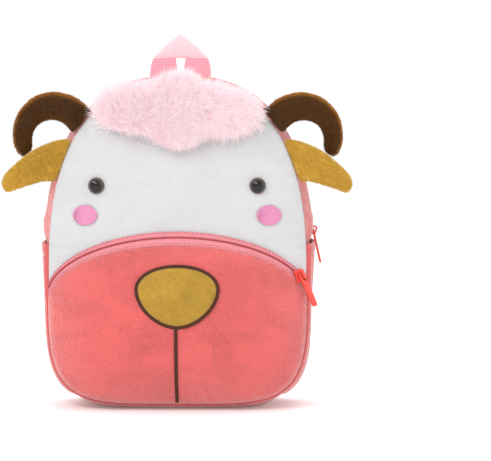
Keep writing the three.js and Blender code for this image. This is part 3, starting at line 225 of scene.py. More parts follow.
# Forelock
FORELOCK_Z = 0.233
FORELOCK_CORE = 0.030
FORELOCK_WING = 0.041
FORELOCK_WING_ABOVE = 28
FORELOCK_WING_BELOW = 19
FORELOCK_CROWN = 0.008
FORELOCK_CROWN_SPREAD = 35
FORELOCK_BACKING = 0.8
FORELOCK_TOP = 0.2555
FORELOCK_EDGE_STAND = 0.003
FORELOCK_PUFF = 0.0095
FORELOCK_TUFT = 0.0016
FORELOCK_TUFT_SPACING = 0.013
FORELOCK_TIP = 0.080
FORELOCK_TIP_DROP = 0.004
FORELOCK_DENSITY = 1.3e6
FORELOCK_FIBRE = 0.00058
# Share of the long pile's length, lean, spread and clump of each layer
FORELOCK_LAYERS = {
    "forelock_under_pile": (0.7, 0.9, 1.2, 0.8),
    "forelock_inner_locks": (0.85, 1.2, 1.0, 1.2),
    "forelock_outer_locks": (0.9, 1.2, 0.9, 1.4),
    "forelock_top_pile": (0.8, 1.1, 1.1, 1.4),
}

# Carrying loop
HANDLE_WIDTH = 0.025
HANDLE_BASE = 0.2535
HANDLE_LEG_GAP = 0.0006
HANDLE_LEAN_BACK = 0.002
HANDLE_LEG_TOP = 0.2785
HANDLE_SLIT_BASE = 0.0006
HANDLE_SLIT_TOP = 0.0042
HANDLE_OUTLINE = {
    "z": (0.2535, 0.262, 0.2695, 0.2735, 0.2757, 0.2785),
    "x": (0.0247, 0.0246, 0.0238, 0.0226, 0.0212, 0.0185),
}
HANDLE_FOLD = 0.2747
HANDLE_FOLD_REACH = 0.0212
HANDLE_TIP = 0.2952
HANDLE_SLOPE = 0.83
HANDLE_TIP_ROUNDNESS = 1.2e-6
HANDLE_SHOULDER_DROP = 0.0014
HANDLE_SAG = 0.0005
HANDLE_LEAST_HEIGHT = 0.0006
HANDLE_CLEARANCE = 0.0005

# Stuffing: each piece's shrink before it, its voxels, its pressure and the furthest it may swell
HORN_STUFFING = {"shrink": 0.0009, "voxel": 0.0018, "pressure": 2.5, "cap": 0.0011}
EAR_STUFFING = {"shrink": 0.0008, "voxel": 0.0018, "pressure": 2.0, "cap": 0.0012}
STRAP_STUFFING = {"shrink": 0.0004, "voxel": 0.0026, "pressure": 4.0, "cap": 0.0014}
STUFFING_STEPS = 20
CLOTH_SETTINGS = {
    "quality": 5,
    "mass": 0.25,
    "tension_stiffness": 18,
    "compression_stiffness": 18,
    "shear_stiffness": 6,
    "bending_stiffness": 0.4,
    "use_pressure": True,
}

# Padded straps
STRAP_TOP = 0.247
STRAP_END = 0.050
STRAP_STAND = 0.028
STRAP_TOP_WIDTH = 0.050
STRAP_END_WIDTH = 0.054
STRAP_THICKNESS = 0.012
STRAP_TOP_GAP = 0.002
STRAP_END_GAP = 0.029
STRAP_SEAM_TILT = 12
STRAP_TILT_END = 0.2
STRAP_SECTIONS = {
    "drop": (0, 0.004, 0.035, 0.1, 0.2, 0.34, 0.5, 0.65, 0.8, 0.92, 0.975, 1),
    "stand": (0, 0.24, 0.52, 0.74, 0.88, 0.97, 1, 0.98, 0.92, 0.84, 0.8, 0.78),
    "thickness": (0.25, 0.5, 0.85, 1, 1, 1, 1, 1, 1, 0.95, 0.85, 0.6),
    "width": (1, 1, 1, 1, 1, 1, 1, 1, 1, 1, 1, 0.86),
}

STRAP_FLATNESS = 0.62
STRAP_ALLOWANCE = 0.18
STRAP_PAD_SHARE = 0.3

# Buckles and their webbing
BUCKLE_THICKNESS = 0.004
BUCKLE_HEIGHT = 0.037
BUCKLE_TOP_BAR = 0.005
BUCKLE_BAR = 0.003
BUCKLE_WINDOWS = (0.005, 0.006)
BUCKLE_TURN = 4
BUCKLE_OUTSET = 0.002
BUCKLE_DROP = 0.009
STRAP_WEBBING_WIDTH = 0.026
WEBBING_BEND = 0.0009
TAB_SEAT = 0.0006
ANCHOR_X = 0.057
ANCHOR_Z = 0.010
ANCHOR_TURN = 27
OVER_BAR = BUCKLE_THICKNESS / 2 + GAP + WEBBING / 2
UNDER_SECOND = OVER_BAR + WEBBING + 2 * GAP
FIRST_BAR = BUCKLE_TOP_BAR + BUCKLE_WINDOWS[0]
SECOND_BAR = FIRST_BAR + BUCKLE_BAR + BUCKLE_WINDOWS[1]

# The stage: each light's place, size and power
LIGHTS = {
    "key": ((-0.9, -1.3, 1.3), (0.8, 0.6), 10),
    "fill": ((1.5, -0.9, 0.7), (1.0, 1.0), 4),
    "top": ((0.1, 0.6, 1.7), (1.2, 0.8), 9),
    "glint": ((-0.35, -1.5, 0.95), (0.15, 0.15), 4.5),
}
LIGHT_TARGET = (0, 0, 0.13)
FLOOR_REACH = 40
CAMERA_DISTANCE = 2.4
CAMERA_AZIMUTH = 0.9
CAMERA_ELEVATION = 3.6
CAMERA_TARGET_Y = -0.045
CAMERA_SENSOR = 36

# The photograph's frame
PHOTO_WIDTH = 491
PHOTO_HEIGHT = 461
PHOTO_PIXELS_PER_METRE = 1280
PHOTO_BAG_MIDDLE = 177
PHOTO_BAG_BASE = 411


def linear(red, green, blue):
    """A colour picked on a screen, 0 to 255, as the linear numbers that Blender works in"""
    shares = [value / 255 for value in (red, green, blue)]
    return tuple(
        share / 12.92 if share <= 0.04045 else ((share + 0.055) / 1.055) ** 2.4 for share in shares
    )


# Body surfaces, with x and z as arrays


def smoothstep(value, low, high):
    share = np.clip((np.asarray(value, float) - low) / (high - low), 0, 1)
    return share * share * (3 - 2 * share)


def quarter_round(share):
    """Rises from 0 at 0 to 1 at 1, like the edge of a rolled cloth"""
    return np.sqrt(np.clip(1 - (1 - np.minimum(share, 1)) ** 2, 0, 1))


def hill(value, middle, spread):
    """1 at the middle, and soon 0 on both sides of it"""
    return np.exp(-(((value - middle) / spread) ** 2))


def unit(vectors):
    """Vectors of length 1 in the same directions"""
    return vectors / np.linalg.norm(vectors, axis=-1, keepdims=True)


def unit_forward(vectors):
    """Vectors of length 1, turned round where they would point to the back"""
    return -unit(vectors) * np.sign(vectors[:, 1:2])


def ring_angles(count):
    return np.linspace(0, 2 * math.pi, count, endpoint=False)


def path_lengths(points):
    """The way along a line of points to each of them"""
    return np.concatenate([[0], np.cumsum(np.linalg.norm(np.diff(points, axis=0), axis=1))])


def seam_half_width(z):
    z = np.asarray(z, float)
    upper = z > SEAM_WIDEST
    reach = np.where(upper, SEAM_TOP - SEAM_WIDEST, SEAM_WIDEST - SEAM_BASE)
    roundness = np.where(upper, SEAM_TOP_ROUNDNESS, SEAM_BASE_ROUNDNESS)
    rise = np.clip(np.abs(z - SEAM_WIDEST) / reach, 0, 1)
    return SEAM_HALF_WIDTH * (1 - rise**roundness) ** (1 / roundness)


def seam_normal(x, z):
    upper = z > SEAM_WIDEST
    reach = np.where(upper, SEAM_TOP - SEAM_WIDEST, SEAM_WIDEST - SEAM_BASE)
    power = np.where(upper, SEAM_TOP_ROUNDNESS, SEAM_BASE_ROUNDNESS) - 1
    sideways = np.sign(x) * np.abs(x / SEAM_HALF_WIDTH) ** power / SEAM_HALF_WIDTH
    upward = np.sign(z - SEAM_WIDEST) * np.abs((z - SEAM_WIDEST) / reach) ** power / reach
    length = np.hypot(sideways, upward)
    return np.stack([sideways / length, upward / length], -1)


def even_steps(points, count, closed=False):
    """Points at equal steps along a line of points, without a second copy of a closed line's start"""
    line = np.vstack([points, points[:1]]) if closed else points
    along = path_lengths(line)
    wanted = np.linspace(0, along[-1], count, endpoint=not closed)
    return np.stack([np.interp(wanted, along, line[:, axis]) for axis in range(line.shape[1])], -1)


def seam_outs(x, z):
    """Directions straight off the gusset at points of the seam"""
    normal = seam_normal(x, z)
    return np.stack([normal[:, 0], np.zeros_like(z), normal[:, 1]], -1)


def seam_loop(count):
    """Points (x, z) round the whole seam, from the middle of the base by way of +X"""
    angle = np.linspace(-math.pi / 2, 1.5 * math.pi, 8001)[:-1]
    rising = np.sin(angle)
    reach = np.where(rising > 0, SEAM_TOP - SEAM_WIDEST, SEAM_WIDEST - SEAM_BASE)
    power = 2 / np.where(rising > 0, SEAM_TOP_ROUNDNESS, SEAM_BASE_ROUNDNESS)
    x = SEAM_HALF_WIDTH * np.sign(np.cos(angle)) * np.abs(np.cos(angle)) ** power
    z = SEAM_WIDEST + reach * np.sign(rising) * np.abs(rising) ** power
    return even_steps(np.stack([x, z], -1), count, closed=True)


def half_depth(z):
    return (DEPTH_AT_BASE + (DEPTH_AT_TOP - DEPTH_AT_BASE) * z / SEAM_TOP) / 2


def share_of_reach(x, z, centre, is_inside):
    """How far each point is from a centre towards the edge of a region, from 0 to 1"""
    low = np.zeros_like(x)
    high = np.full_like(x, 1000.0)
    for _ in range(50):
        middle = (low + high) / 2
        inside = is_inside(x * middle, centre + (z - centre) * middle)
        low = np.where(inside, middle, low)
        high = np.where(inside, high, middle)
    return np.minimum(1, 1 / np.maximum(low, 1e-9))


def is_inside_seam(x, z):
    within = (z > SEAM_BASE) & (z < SEAM_TOP)
    return within & (np.abs(x) < seam_half_width(z))


def face_dome(share, z):
    return -half_depth(z) - CLOTH - FACE_CROWN * (1 - share**FACE_FULLNESS)


def face_y(x, z):
    return face_dome(share_of_reach(x, z, FACE_CENTRE, is_inside_seam), z)


def back_dome(share, z):
    return half_depth(z) + CLOTH + BACK_CROWN * (1 - share**BACK_FULLNESS)


def back_y(x, z):
    return back_dome(share_of_reach(x, z, BACK_CENTRE, is_inside_seam), z)


def back_y_at(x, z):
    return float(back_y(np.array([x]), np.array([z]))[0])


def gusset_point(x, z, across, lift):
    """A point over the gusset: across runs from the front seam at 0 to the back one at 1"""
    height = (z - SEAM_BASE) / (SEAM_TOP - SEAM_BASE)
    swell = GUSSET_SWELL * np.interp(height, GUSSET_HEIGHTS, GUSSET_SWELLS)
    out = swell * np.sin(math.pi * np.clip(across, 0, 1)) ** GUSSET_SQUARENESS + lift
    normal = seam_normal(x, z)
    y = (2 * across - 1) * (half_depth(z) - GAP)
    placed = np.stack([x + normal[..., 0] * out, y, z + normal[..., 1] * out], -1)
    placed[..., 2] = np.maximum(placed[..., 2], 0)
    return placed


ZIP_ARCH = {"half_width": ARCH_HALF_WIDTH, "rise": ARCH_RISE, "centre": ARCH_CENTRE}
POCKET_EDGE = {
    "half_width": SEAM_HALF_WIDTH + GAP,
    "rise": ARCH_RISE - ZIP_BAND + POCKET_EDGE_SINK,
    "centre": ARCH_CENTRE - POCKET_EDGE_SINK,
}


def arch_point(arch, share):
    """Points (x, z) of an arch, from its left end on the seam at -1 to its right end at 1"""

    def at(angle):
        x = arch["half_width"] * np.cos(angle)
        return x, arch["centre"] + arch["rise"] * np.sin(angle)

    low, high = math.pi / 2, 0.0
    for _ in range(50):
        middle = (low + high) / 2
        x, z = at(middle)
        if x < seam_half_width(z):
            low = middle
        else:
            high = middle
    share = np.asarray(share, float)
    x, z = at(math.pi / 2 - np.abs(share) * (math.pi / 2 - low))
    return np.sign(share) * x, z


POCKET_CORNER_X, POCKET_CORNER_Z = (float(value) for value in arch_point(POCKET_EDGE, 1))


def is_inside_pocket(x, z):
    away = np.abs(x) / POCKET_EDGE["half_width"]
    arch = POCKET_EDGE["centre"] + POCKET_EDGE["rise"] * np.sqrt(np.maximum(0, 1 - away**2))
    return is_inside_seam(x, z) & ((z < POCKET_CORNER_Z) | (z < arch))


def rim_lift(x, z):
    """How far the pocket's rim stands off the face: full along the arch, none at the seams"""
    corner = math.atan2(POCKET_CORNER_Z - POCKET_CENTRE, POCKET_CORNER_X)
    share = (np.arctan2(z - POCKET_CENTRE, x) - corner) / (math.pi - 2 * corner)
    return POCKET_RIM_LIFT * np.sin(math.pi * np.clip(share, 0, 1)) ** POCKET_RIM_SQUARENESS


def pocket_dome(share, x, z):
    swell = POCKET_SWELL * (1 - share**POCKET_FULLNESS)
    return face_y(x, z) - GAP - swell - rim_lift(x, z) * share**POCKET_RIM_POWER - CLOTH


def pocket_y(x, z):
    return pocket_dome(share_of_reach(x, z, POCKET_CENTRE, is_inside_pocket), x, z)


def pocket_zip_point(along, share, lift):
    """A point of the slanting zip band: share 0 is on the face and 1 at the pocket's rim"""
    upper_x, upper_z = arch_point(ZIP_ARCH, along)
    lower_x, lower_z = arch_point(POCKET_EDGE, along)
    top = np.stack([upper_x, face_y(upper_x, upper_z) - GAP - TAPE, upper_z], -1)
    rim_y = pocket_dome(np.ones_like(lower_x), lower_x, lower_z) + (CLOTH - TAPE) / 2
    rim = np.stack([lower_x, rim_y, lower_z + GAP], -1)
    share = np.asarray(share, float)[..., None]
    placed = top * (1 - share) + rim * share
    placed[..., 1] -= lift
    return placed


# Small folds


def ripple(length, spacing, seed):
    """Uneven waves round a seam of that length, about spacing apart, as a function of the way along"""
    random = np.random.default_rng(seed)
    middle = length / spacing
    counts = np.round(middle * np.array([0.62, 0.8, 1, 1.23, 1.55]))
    phases = random.uniform(0, 2 * math.pi, len(counts))
    strengths = np.array([0.5, 0.8, 1, 0.7, 0.45])

    def waves(along):
        turns = 2 * math.pi * np.asarray(along)[..., None] * counts / length + phases
        return (np.sin(turns) * strengths).sum(-1) / 2

    return waves


def slump(seed, spacing):
    """Low soft hills over a panel, as a function of x and z"""
    random = np.random.default_rng(seed)
    turn = random.uniform(0, 2 * math.pi, 9)
    size = random.uniform(0.7, 1.5, 9) * spacing
    phase = random.uniform(0, 2 * math.pi, 9)

    def hills(x, z):
        way = np.asarray(x)[..., None] * np.cos(turn) + np.asarray(z)[..., None] * np.sin(turn)
        return np.sin(2 * math.pi * way / size + phase).sum(-1) / 5

    return hills


# Meshes


def link_object(name, data):
    made = bpy.data.objects.new(name, data)
    bpy.context.scene.collection.objects.link(made)
    return made


def new_object(name, points, faces, edges=()):
    mesh = bpy.data.meshes.new(name)
    mesh.from_pydata(np.asarray(points, float).tolist(), list(edges), faces)
    return link_object(name, mesh)


def map_sewn(made, uv):
    """Keeps each point's place on the flat cloth, in metres, for a weave to follow"""
    flat = uv.reshape(-1, 2)
    layer = made.data.uv_layers.new(name="sewn")
    corners = np.zeros(len(made.data.loops), int)
    made.data.loops.foreach_get("vertex_index", corners)
    layer.data.foreach_set("uv", flat[corners].ravel())


def grid_object(name, grid, around=False, has_cell=None, uv=None):
    """A sheet over a grid of points [columns, rows, 3]; around joins its last column to its first"""
    columns, rows = grid.shape[:2]
    faces = []
    for column in range(columns if around else columns - 1):
        here, there = column * rows, (column + 1) % columns * rows
        for row in range(rows - 1):
            if has_cell is None or has_cell[column, row]:
                faces.append((here + row, here + row + 1, there + row + 1, there + row))
    made = new_object(name, grid.reshape(-1, 3), faces)
    if uv is not None:
        map_sewn(made, uv)
    tidy_mesh(made)
    return made


def tidy_mesh(made, merge=1e-6, recalculate=False):
    """Merges doubled points and drops loose ones"""
    work = bmesh.new()
    work.from_mesh(made.data)
    bmesh.ops.remove_doubles(work, verts=work.verts, dist=merge)
    loose = [vertex for vertex in work.verts if not vertex.link_edges]
    bmesh.ops.delete(work, geom=loose, context="VERTS")
    if recalculate:
        bmesh.ops.recalc_face_normals(work, faces=work.faces)
    work.to_mesh(made.data)
    work.free()


def face_away(made, centre):
    """Turns a sheet so that its faces look away from a point"""
    centre = Vector(centre)
    outward = sum((face.center - centre).dot(face.normal) * face.area for face in made.data.polygons)
    if outward < 0:
        made.data.flip_normals()


def loft_object(name, sections, uv=None):
    """A closed skin over cross-sections [sections, sides, 3], with a face over each end"""
    count, sides = sections.shape[:2]
    faces = []
    for index in range(count - 1):
        for side in range(sides):
            after = (side + 1) % sides
            here, there = index * sides, (index + 1) * sides
            faces.append((here + side, here + after, there + after, there + side))
    faces.append(tuple(range(sides)))
    faces.append(tuple(reversed(range((count - 1) * sides, count * sides))))
    made = new_object(name, sections.reshape(-1, 3), faces)
    if uv is not None:
        map_sewn(made, uv)
    tidy_mesh(made, recalculate=True)
    return made


def freeze(made):
    """Turns a piece's modifiers into its mesh"""
    depsgraph = bpy.context.evaluated_depsgraph_get()
    mesh = bpy.data.meshes.new_from_object(
        made.evaluated_get(depsgraph), preserve_all_data_layers=True, depsgraph=depsgraph
    )
    made.modifiers.clear()
    made.data = mesh


def thicken(made, thickness):
    solid = made.modifiers.new("cloth", "SOLIDIFY")
    solid.thickness = thickness
    solid.offset = -1
    freeze(made)


def refine(made, levels):
    smooth = made.modifiers.new("smooth", "SUBSURF")
    smooth.levels = levels
    smooth.render_levels = levels
    freeze(made)


def shade_smooth(made, sharp_degrees=180):
    work = bmesh.new()
    work.from_mesh(made.data)
    limit = math.radians(sharp_degrees)
    for face in work.faces:
        face.smooth = True
    for edge in work.edges:
        edge.smooth = len(edge.link_faces) != 2 or edge.calc_face_angle(0) < limit
    work.to_mesh(made.data)
    work.free()


def read_vectors(values, key):
    vectors = np.zeros(len(values) * 3)
    values.foreach_get(key, vectors)
    return vectors.reshape(-1, 3)


def read_points(made):
    return read_vectors(made.data.vertices, "co")


def read_normals(made):
    return read_vectors(made.data.vertices, "normal")


def write_points(made, points):
    made.data.vertices.foreach_set("co", np.asarray(points, float).ravel())
    made.data.update()


def store(made, name, values):
    """Keeps a number or a vector for each point of a mesh, for a finish or a tree to read"""
    values = np.asarray(values, float)
    kind, key = ("FLOAT_VECTOR", "vector") if values.ndim == 2 else ("FLOAT", "value")
    attribute = made.data.attributes.new(name, kind, "POINT")
    attribute.data.foreach_set(key, values.ravel())


def mirrored(made, name):
    """The left-hand copy of a right-hand piece, with its pile combed the other way"""
    copy = link_object(name, made.data.copy())
    points = read_points(copy)
    points[:, 0] *= -1
    write_points(copy, points)
    copy.data.flip_normals()
    if "flow" in copy.data.attributes:
        flow = copy.data.attributes["flow"].data
        directions = read_vectors(flow, "vector")
        directions[:, 0] *= -1
        flow.foreach_set("vector", directions.ravel())
    return copy


def line_object(name, points, outs, reach=None):
    """A bare line of points that a tree sews along; outs point off the cloth"""
    edges = [(index, index + 1) for index in range(len(points) - 1)]
    made = new_object(name, points, [], edges)
    store(made, "out", outs)
    store(made, "reach", np.ones(len(points)) if reach is None else reach)
    return made


def body_of_node(node):
    bodies = frame["record"]["behaviour"]["bodies"]
    return next(body for body, nodes in bodies.items() if node in nodes)


def slot_of_node(node):
    parts = frame["record"]["subparts"]
    return next(part["material_slot"] for part in parts if part["node"] == node)


def hand_over(made, hue, node, replaced=True):
    """Gives a finished piece its finish and sets it on its node's body"""
    if hue is not None:
        made.data.materials.clear()
        made.data.materials.append(finish(hue).material)
    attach(made, body_of_node(node))
    slot_of_node(node)
    if replaced:
        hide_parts(node)
    return made


def hand_over_cloth(made, thickness, hue, node):
    """Gives a sheet its thickness behind the side that shows, and hands it over"""
    thicken(made, thickness)
    shade_smooth(made)
    return hand_over(made, hue, node)


def hand_over_pair(made, hue, node):
    """Hands over a right-hand piece and its left-hand copy"""
    left = mirrored(made, made.name.replace("right", "left"))
    pair = ((made, node), (left, node.replace("right", "left")))
    for piece, its_node in pair:
        hand_over(piece, hue, its_node)
    return pair


def copy_of_node(node, name):
    """A merged copy of a CAD node's mesh, to be finished as a piece of its own"""
    made = link_object(name, frame["nodes"][node].data.copy())
    tidy_mesh(made, merge=2e-6)
    return made


def soften_edges(made, width, angle=28):
    bevel = made.modifiers.new("worn edges", "BEVEL")
    bevel.width = width
    bevel.segments = 3
    bevel.limit_method = "ANGLE"
    bevel.angle_limit = math.radians(angle)
    freeze(made)


# Node trees, written as expressions


class Socket:
    """An output socket whose operators add Math nodes to its tree"""

    def __init__(self, nodes, socket):
        self.nodes = nodes
        self.socket = socket

    def maths(self, operation, *terms):
        values = dict(enumerate(terms))
        return self.nodes.node("ShaderNodeMath", {"operation": operation}, values)

    def __add__(self, other):
        return self.maths("ADD", self, other)

    def __radd__(self, other):
        return self.maths("ADD", other, self)

    def __rsub__(self, other):
        return self.maths("SUBTRACT", other, self)

    def __mul__(self, other):
        return self.maths("MULTIPLY", self, other)

    def __truediv__(self, other):
        return self.maths("DIVIDE", self, other)

    def __rtruediv__(self, other):
        return self.maths("DIVIDE", other, self)

    def sine(self):
        return self.maths("SINE", self)

    def size(self):
        return self.maths("ABSOLUTE", self)

    def between(self, low, high):
        """0 at low and below, 1 at high and above, and smooth between"""
        settings = {"interpolation_type": "SMOOTHSTEP"}
        values = {0: self, 1: low, 2: high, 3: 0.0, 4: 1.0}
        return self.nodes.node("ShaderNodeMapRange", settings, values)


class Nodes:
    """A node tree and the one method that adds to it"""

    def __init__(self, tree):
        self.tree = tree

    def node(self, kind, settings=None, values=None, out=0):
        made = self.tree.nodes.new(kind)
        for key, value in (settings or {}).items():
            setattr(made, key, value)
        for key, value in (values or {}).items():
            self.feed(made.inputs[key], value)
        return Socket(self, made.outputs[out]) if made.outputs else None

    def feed(self, socket, value):
        if isinstance(value, Socket):
            self.tree.links.new(value.socket, socket)
        else:
            socket.default_value = value


class Finish(Nodes):
    """A material in the making"""

    def __init__(self, name):
        self.material = bpy.data.materials.new(name)
        self.material.use_nodes = True
        super().__init__(self.material.node_tree)
        self.tree.nodes.clear()

    def place(self):
        return self.node("ShaderNodeTexCoord", out="Object")

    def sewn(self):
        return self.node("ShaderNodeUVMap", {"uv_map": "sewn"})

    def attribute(self, name):
        return self.node("ShaderNodeAttribute", {"attribute_name": name}, out="Fac")

    def stretched(self, vector, scale):
        return self.node("ShaderNodeMapping", {}, {"Vector": vector, "Scale": scale})

    def axis(self, vector, name):
        return self.node("ShaderNodeSeparateXYZ", {}, {"Vector": vector}, out=name)

    def noise(self, vector, scale, detail=2.0, roughness=0.5, distortion=0.0):
        values = {"Vector": vector, "Scale": scale, "Detail": detail, "Roughness": roughness}
        return self.node("ShaderNodeTexNoise", {}, {**values, "Distortion": distortion})

    def mix(self, first, second, factor):
        first, second = (hue if isinstance(hue, Socket) else (*hue, 1) for hue in (first, second))
        values = {0: factor, 6: first, 7: second}
        return self.node("ShaderNodeMix", {"data_type": "RGBA"}, values, out=2)

    def bump(self, height, depth, strength=1.0, under=None):
        values = {"Height": height, "Distance": depth, "Strength": strength}
        if under is not None:
            values["Normal"] = under
        return self.node("ShaderNodeBump", {}, values)

    def close(self, colour, roughness, normal=None, **fixed):
        """Ends the tree in one shader; fixed sockets have the same value all over"""
        values = {"Base Color": colour if isinstance(colour, Socket) else (*colour, 1)}
        values["Roughness"] = roughness
        if normal is not None:
            values["Normal"] = normal
        values.update({key.replace("_", " "): value for key, value in fixed.items()})
        shader = self.node("ShaderNodeBsdfPrincipled", {}, values)
        self.node("ShaderNodeOutputMaterial", {}, {"Surface": shader})
        return self


class Tree(Nodes):
    """A geometry node tree with named inputs, which ends in real faces with one material"""

    def __init__(self, name, inputs):
        super().__init__(bpy.data.node_groups.new(name, "GeometryNodeTree"))
        face = self.tree.interface
        face.new_socket("Geometry", in_out="INPUT", socket_type="NodeSocketGeometry")
        self.identifiers = {}
        for label, default in {**inputs, "Seed": SEED}.items():
            kind = "NodeSocketInt" if isinstance(default, int) else "NodeSocketFloat"
            socket = face.new_socket(label, in_out="INPUT", socket_type=kind)
            socket.default_value = default
            self.identifiers[label] = socket.identifier
        socket = face.new_socket("Material", in_out="INPUT", socket_type="NodeSocketMaterial")
        self.identifiers["Material"] = socket.identifier
        face.new_socket("Geometry", in_out="OUTPUT", socket_type="NodeSocketGeometry")
        self.start = self.tree.nodes.new("NodeGroupInput")

    def given(self, label):
        return Socket(self, self.start.outputs[label])

    def vector(self, x=0.0, y=0.0, z=0.0):
        return self.node("ShaderNodeCombineXYZ", {}, {0: x, 1: y, 2: z})

    def vectors(self, operation, *terms, scale=None):
        values = dict(enumerate(terms))
        if scale is not None:
            values["Scale"] = scale
        return self.node("ShaderNodeVectorMath", {"operation": operation}, values)

    def named(self, name, kind="FLOAT"):
        return self.node("GeometryNodeInputNamedAttribute", {"data_type": kind}, {"Name": name})

    def random(self, low, high, salt):
        values = {2: low, 3: high, 8: self.given("Seed") + salt}
        return self.node("FunctionNodeRandomValue", {"data_type": "FLOAT"}, values, out=1)

    def random_vector(self, reach, salt):
        values = {0: (-reach,) * 3, 1: (reach,) * 3, 8: self.given("Seed") + salt}
        return self.node("FunctionNodeRandomValue", {"data_type": "FLOAT_VECTOR"}, values)

    def spun(self, rotation, angle):
        """A rotation turned further round its own Z"""
        values = {0: rotation, 1: self.vector(z=angle)}
        return self.node("FunctionNodeRotateRotation", {"rotation_space": "LOCAL"}, values)

    def kept(self, geometry, name, value, domain):
        """Geometry with a number stored on it, for a finish to read"""
        settings = {"data_type": "FLOAT", "domain": domain}
        values = {"Geometry": geometry, "Name": name, "Value": value}
        return self.node("GeometryNodeStoreNamedAttribute", settings, values)

    def aligned(self, axis, vector, rotation=None, pivot="AUTO"):
        values = {"Vector": vector}
        if rotation is not None:
            values["Rotation"] = rotation
        settings = {"axis": axis, "pivot_axis": pivot}
        return self.node("FunctionNodeAlignRotationToVector", settings, values)

    def end(self, geometry):
        real = self.node("GeometryNodeRealizeInstances", {}, {"Geometry": geometry})
        values = {"Geometry": real, "Material": self.given("Material")}
        dressed = self.node("GeometryNodeSetMaterial", {}, values)
        self.feed(self.tree.nodes.new("NodeGroupOutput").inputs[0], dressed)
        return self

    def grow(self, made, finish, **values):
        """Runs the tree on an object and keeps the result as its mesh"""
        modifier = made.modifiers.new(self.tree.name, "NODES")
        modifier.node_group = self.tree
        for label, value in {**values, "Material": finish.material}.items():
            modifier[self.identifiers[label.replace("_", " ")]] = value
        freeze(made)
        return made


def thread_tree():
    """Threads or teeth at equal steps along a line: Along and Across are each one's own size"""
    inputs = {"Step": 0.001, "Along": 0.001, "Across": 0.001, "Height": 0.0005, "Slant": 0.0}
    tree = Tree("threads_along_a_line", inputs)
    line = tree.node("GeometryNodeMeshToCurve", {}, {"Mesh": tree.given("Geometry")})
    steps = tree.node(
        "GeometryNodeResampleCurve", {"mode": "LENGTH"}, {"Curve": line, "Length": tree.given("Step")}
    )
    bead = tree.node("GeometryNodeMeshUVSphere", {}, {"Segments": 6, "Rings": 4, "Radius": 0.5})
    size = tree.vector(tree.given("Along"), tree.given("Across"), tree.given("Height"))
    shaped = tree.node("GeometryNodeTransform", {}, {"Geometry": bead, "Scale": size})
    along = tree.aligned("X", tree.node("GeometryNodeInputTangent"))
    upright = tree.aligned("Z", tree.named("out", "FLOAT_VECTOR"), along, pivot="X")
    slanted = tree.spun(upright, tree.given("Slant"))
    scale = tree.vector(1.0, tree.named("reach"), 1.0)
    values = {"Points": steps, "Instance": shaped, "Rotation": slanted, "Scale": scale}
    rows = tree.node("GeometryNodeInstanceOnPoints", {}, values)
    return tree.end(tree.kept(rows, "tone", tree.random(0.0, 1.0, 1), "INSTANCE"))


def pile_tree():
    """Fibres over a cloth: they lean along its flow attribute, and curl towards their tips"""
    inputs = {
        "Density": 1.0e6,
        "Length": 0.0012,
        "Width": 0.0003,
        "Lean": 0.6,
        "Spread": 0.4,
        "Curl": 0.3,
        "Clump Size": 0.008,
        "Clump": 0.3,
        "Segments": 2,
    }
    tree = Tree("pile_over_a_cloth", inputs)
    values = {"Mesh": tree.given("Geometry"), "Density": tree.given("Density"), "Seed": tree.given("Seed")}
    points = tree.node("GeometryNodeDistributePointsOnFaces", {}, values, out="Points")
    normal = Socket(tree, points.socket.node.outputs["Normal"])
    values = {
        "Vertices": 3,
        "Side Segments": tree.given("Segments"),
        "Radius Top": tree.given("Width") * 0.1,
        "Radius Bottom": tree.given("Width") * 0.5,
        "Depth": tree.given("Length"),
    }
    fibre = tree.node("GeometryNodeMeshCone", {"fill_type": "NONE"}, values)
    position = tree.node("GeometryNodeInputPosition")
    height = tree.node("ShaderNodeSeparateXYZ", {}, {0: position}, out="Z") / tree.given("Length")
    curl = tree.vector(height * height * tree.given("Curl") * tree.given("Length"))
    values = {"Geometry": fibre, "Offset": curl}
    curled = tree.node("GeometryNodeSetPosition", {}, values)
    marked = tree.kept(curled, "tip", height, "POINT")
    flow = tree.named("flow", "FLOAT_VECTOR")
    leaning = tree.vectors("ADD", normal, tree.vectors("SCALE", flow, scale=tree.given("Lean")))
    loose = tree.vectors("SCALE", tree.random_vector(1.0, 2), scale=tree.given("Spread"))
    field = tree.node(
        "ShaderNodeTexNoise", {}, {"Scale": 1.0 / tree.given("Clump Size"), "Detail": 1.0}, out=1
    )
    centred = tree.vectors("SUBTRACT", field, (0.5, 0.5, 0.5))
    clumped = tree.vectors("SCALE", centred, scale=tree.given("Clump") * 4.0)
    way = tree.vectors("ADD", tree.vectors("ADD", leaning, loose), clumped)
    standing = tree.aligned("Z", way)
    spun = tree.spun(standing, tree.random(-1.2, 1.2, 3))
    size = tree.named("reach") * tree.random(0.7, 1.15, 4)
    scale = tree.vector(size, size, size)
    values = {"Points": points, "Instance": marked, "Rotation": spun, "Scale": scale}
    grown = tree.node("GeometryNodeInstanceOnPoints", {}, values)
    return tree.end(tree.kept(grown, "tone", tree.random(0.0, 1.0, 5), "INSTANCE"))


# Colours and sizes that a user would change


def colour_setting(name, description, *screen):
    return bpy.props.FloatVectorProperty(
        name=name, description=description, subtype="COLOR", size=3, default=linear(*screen)
    )


def length_setting(name, description, metres):
    return bpy.props.FloatProperty(
        name=name, description=description, subtype="DISTANCE", default=metres
    )


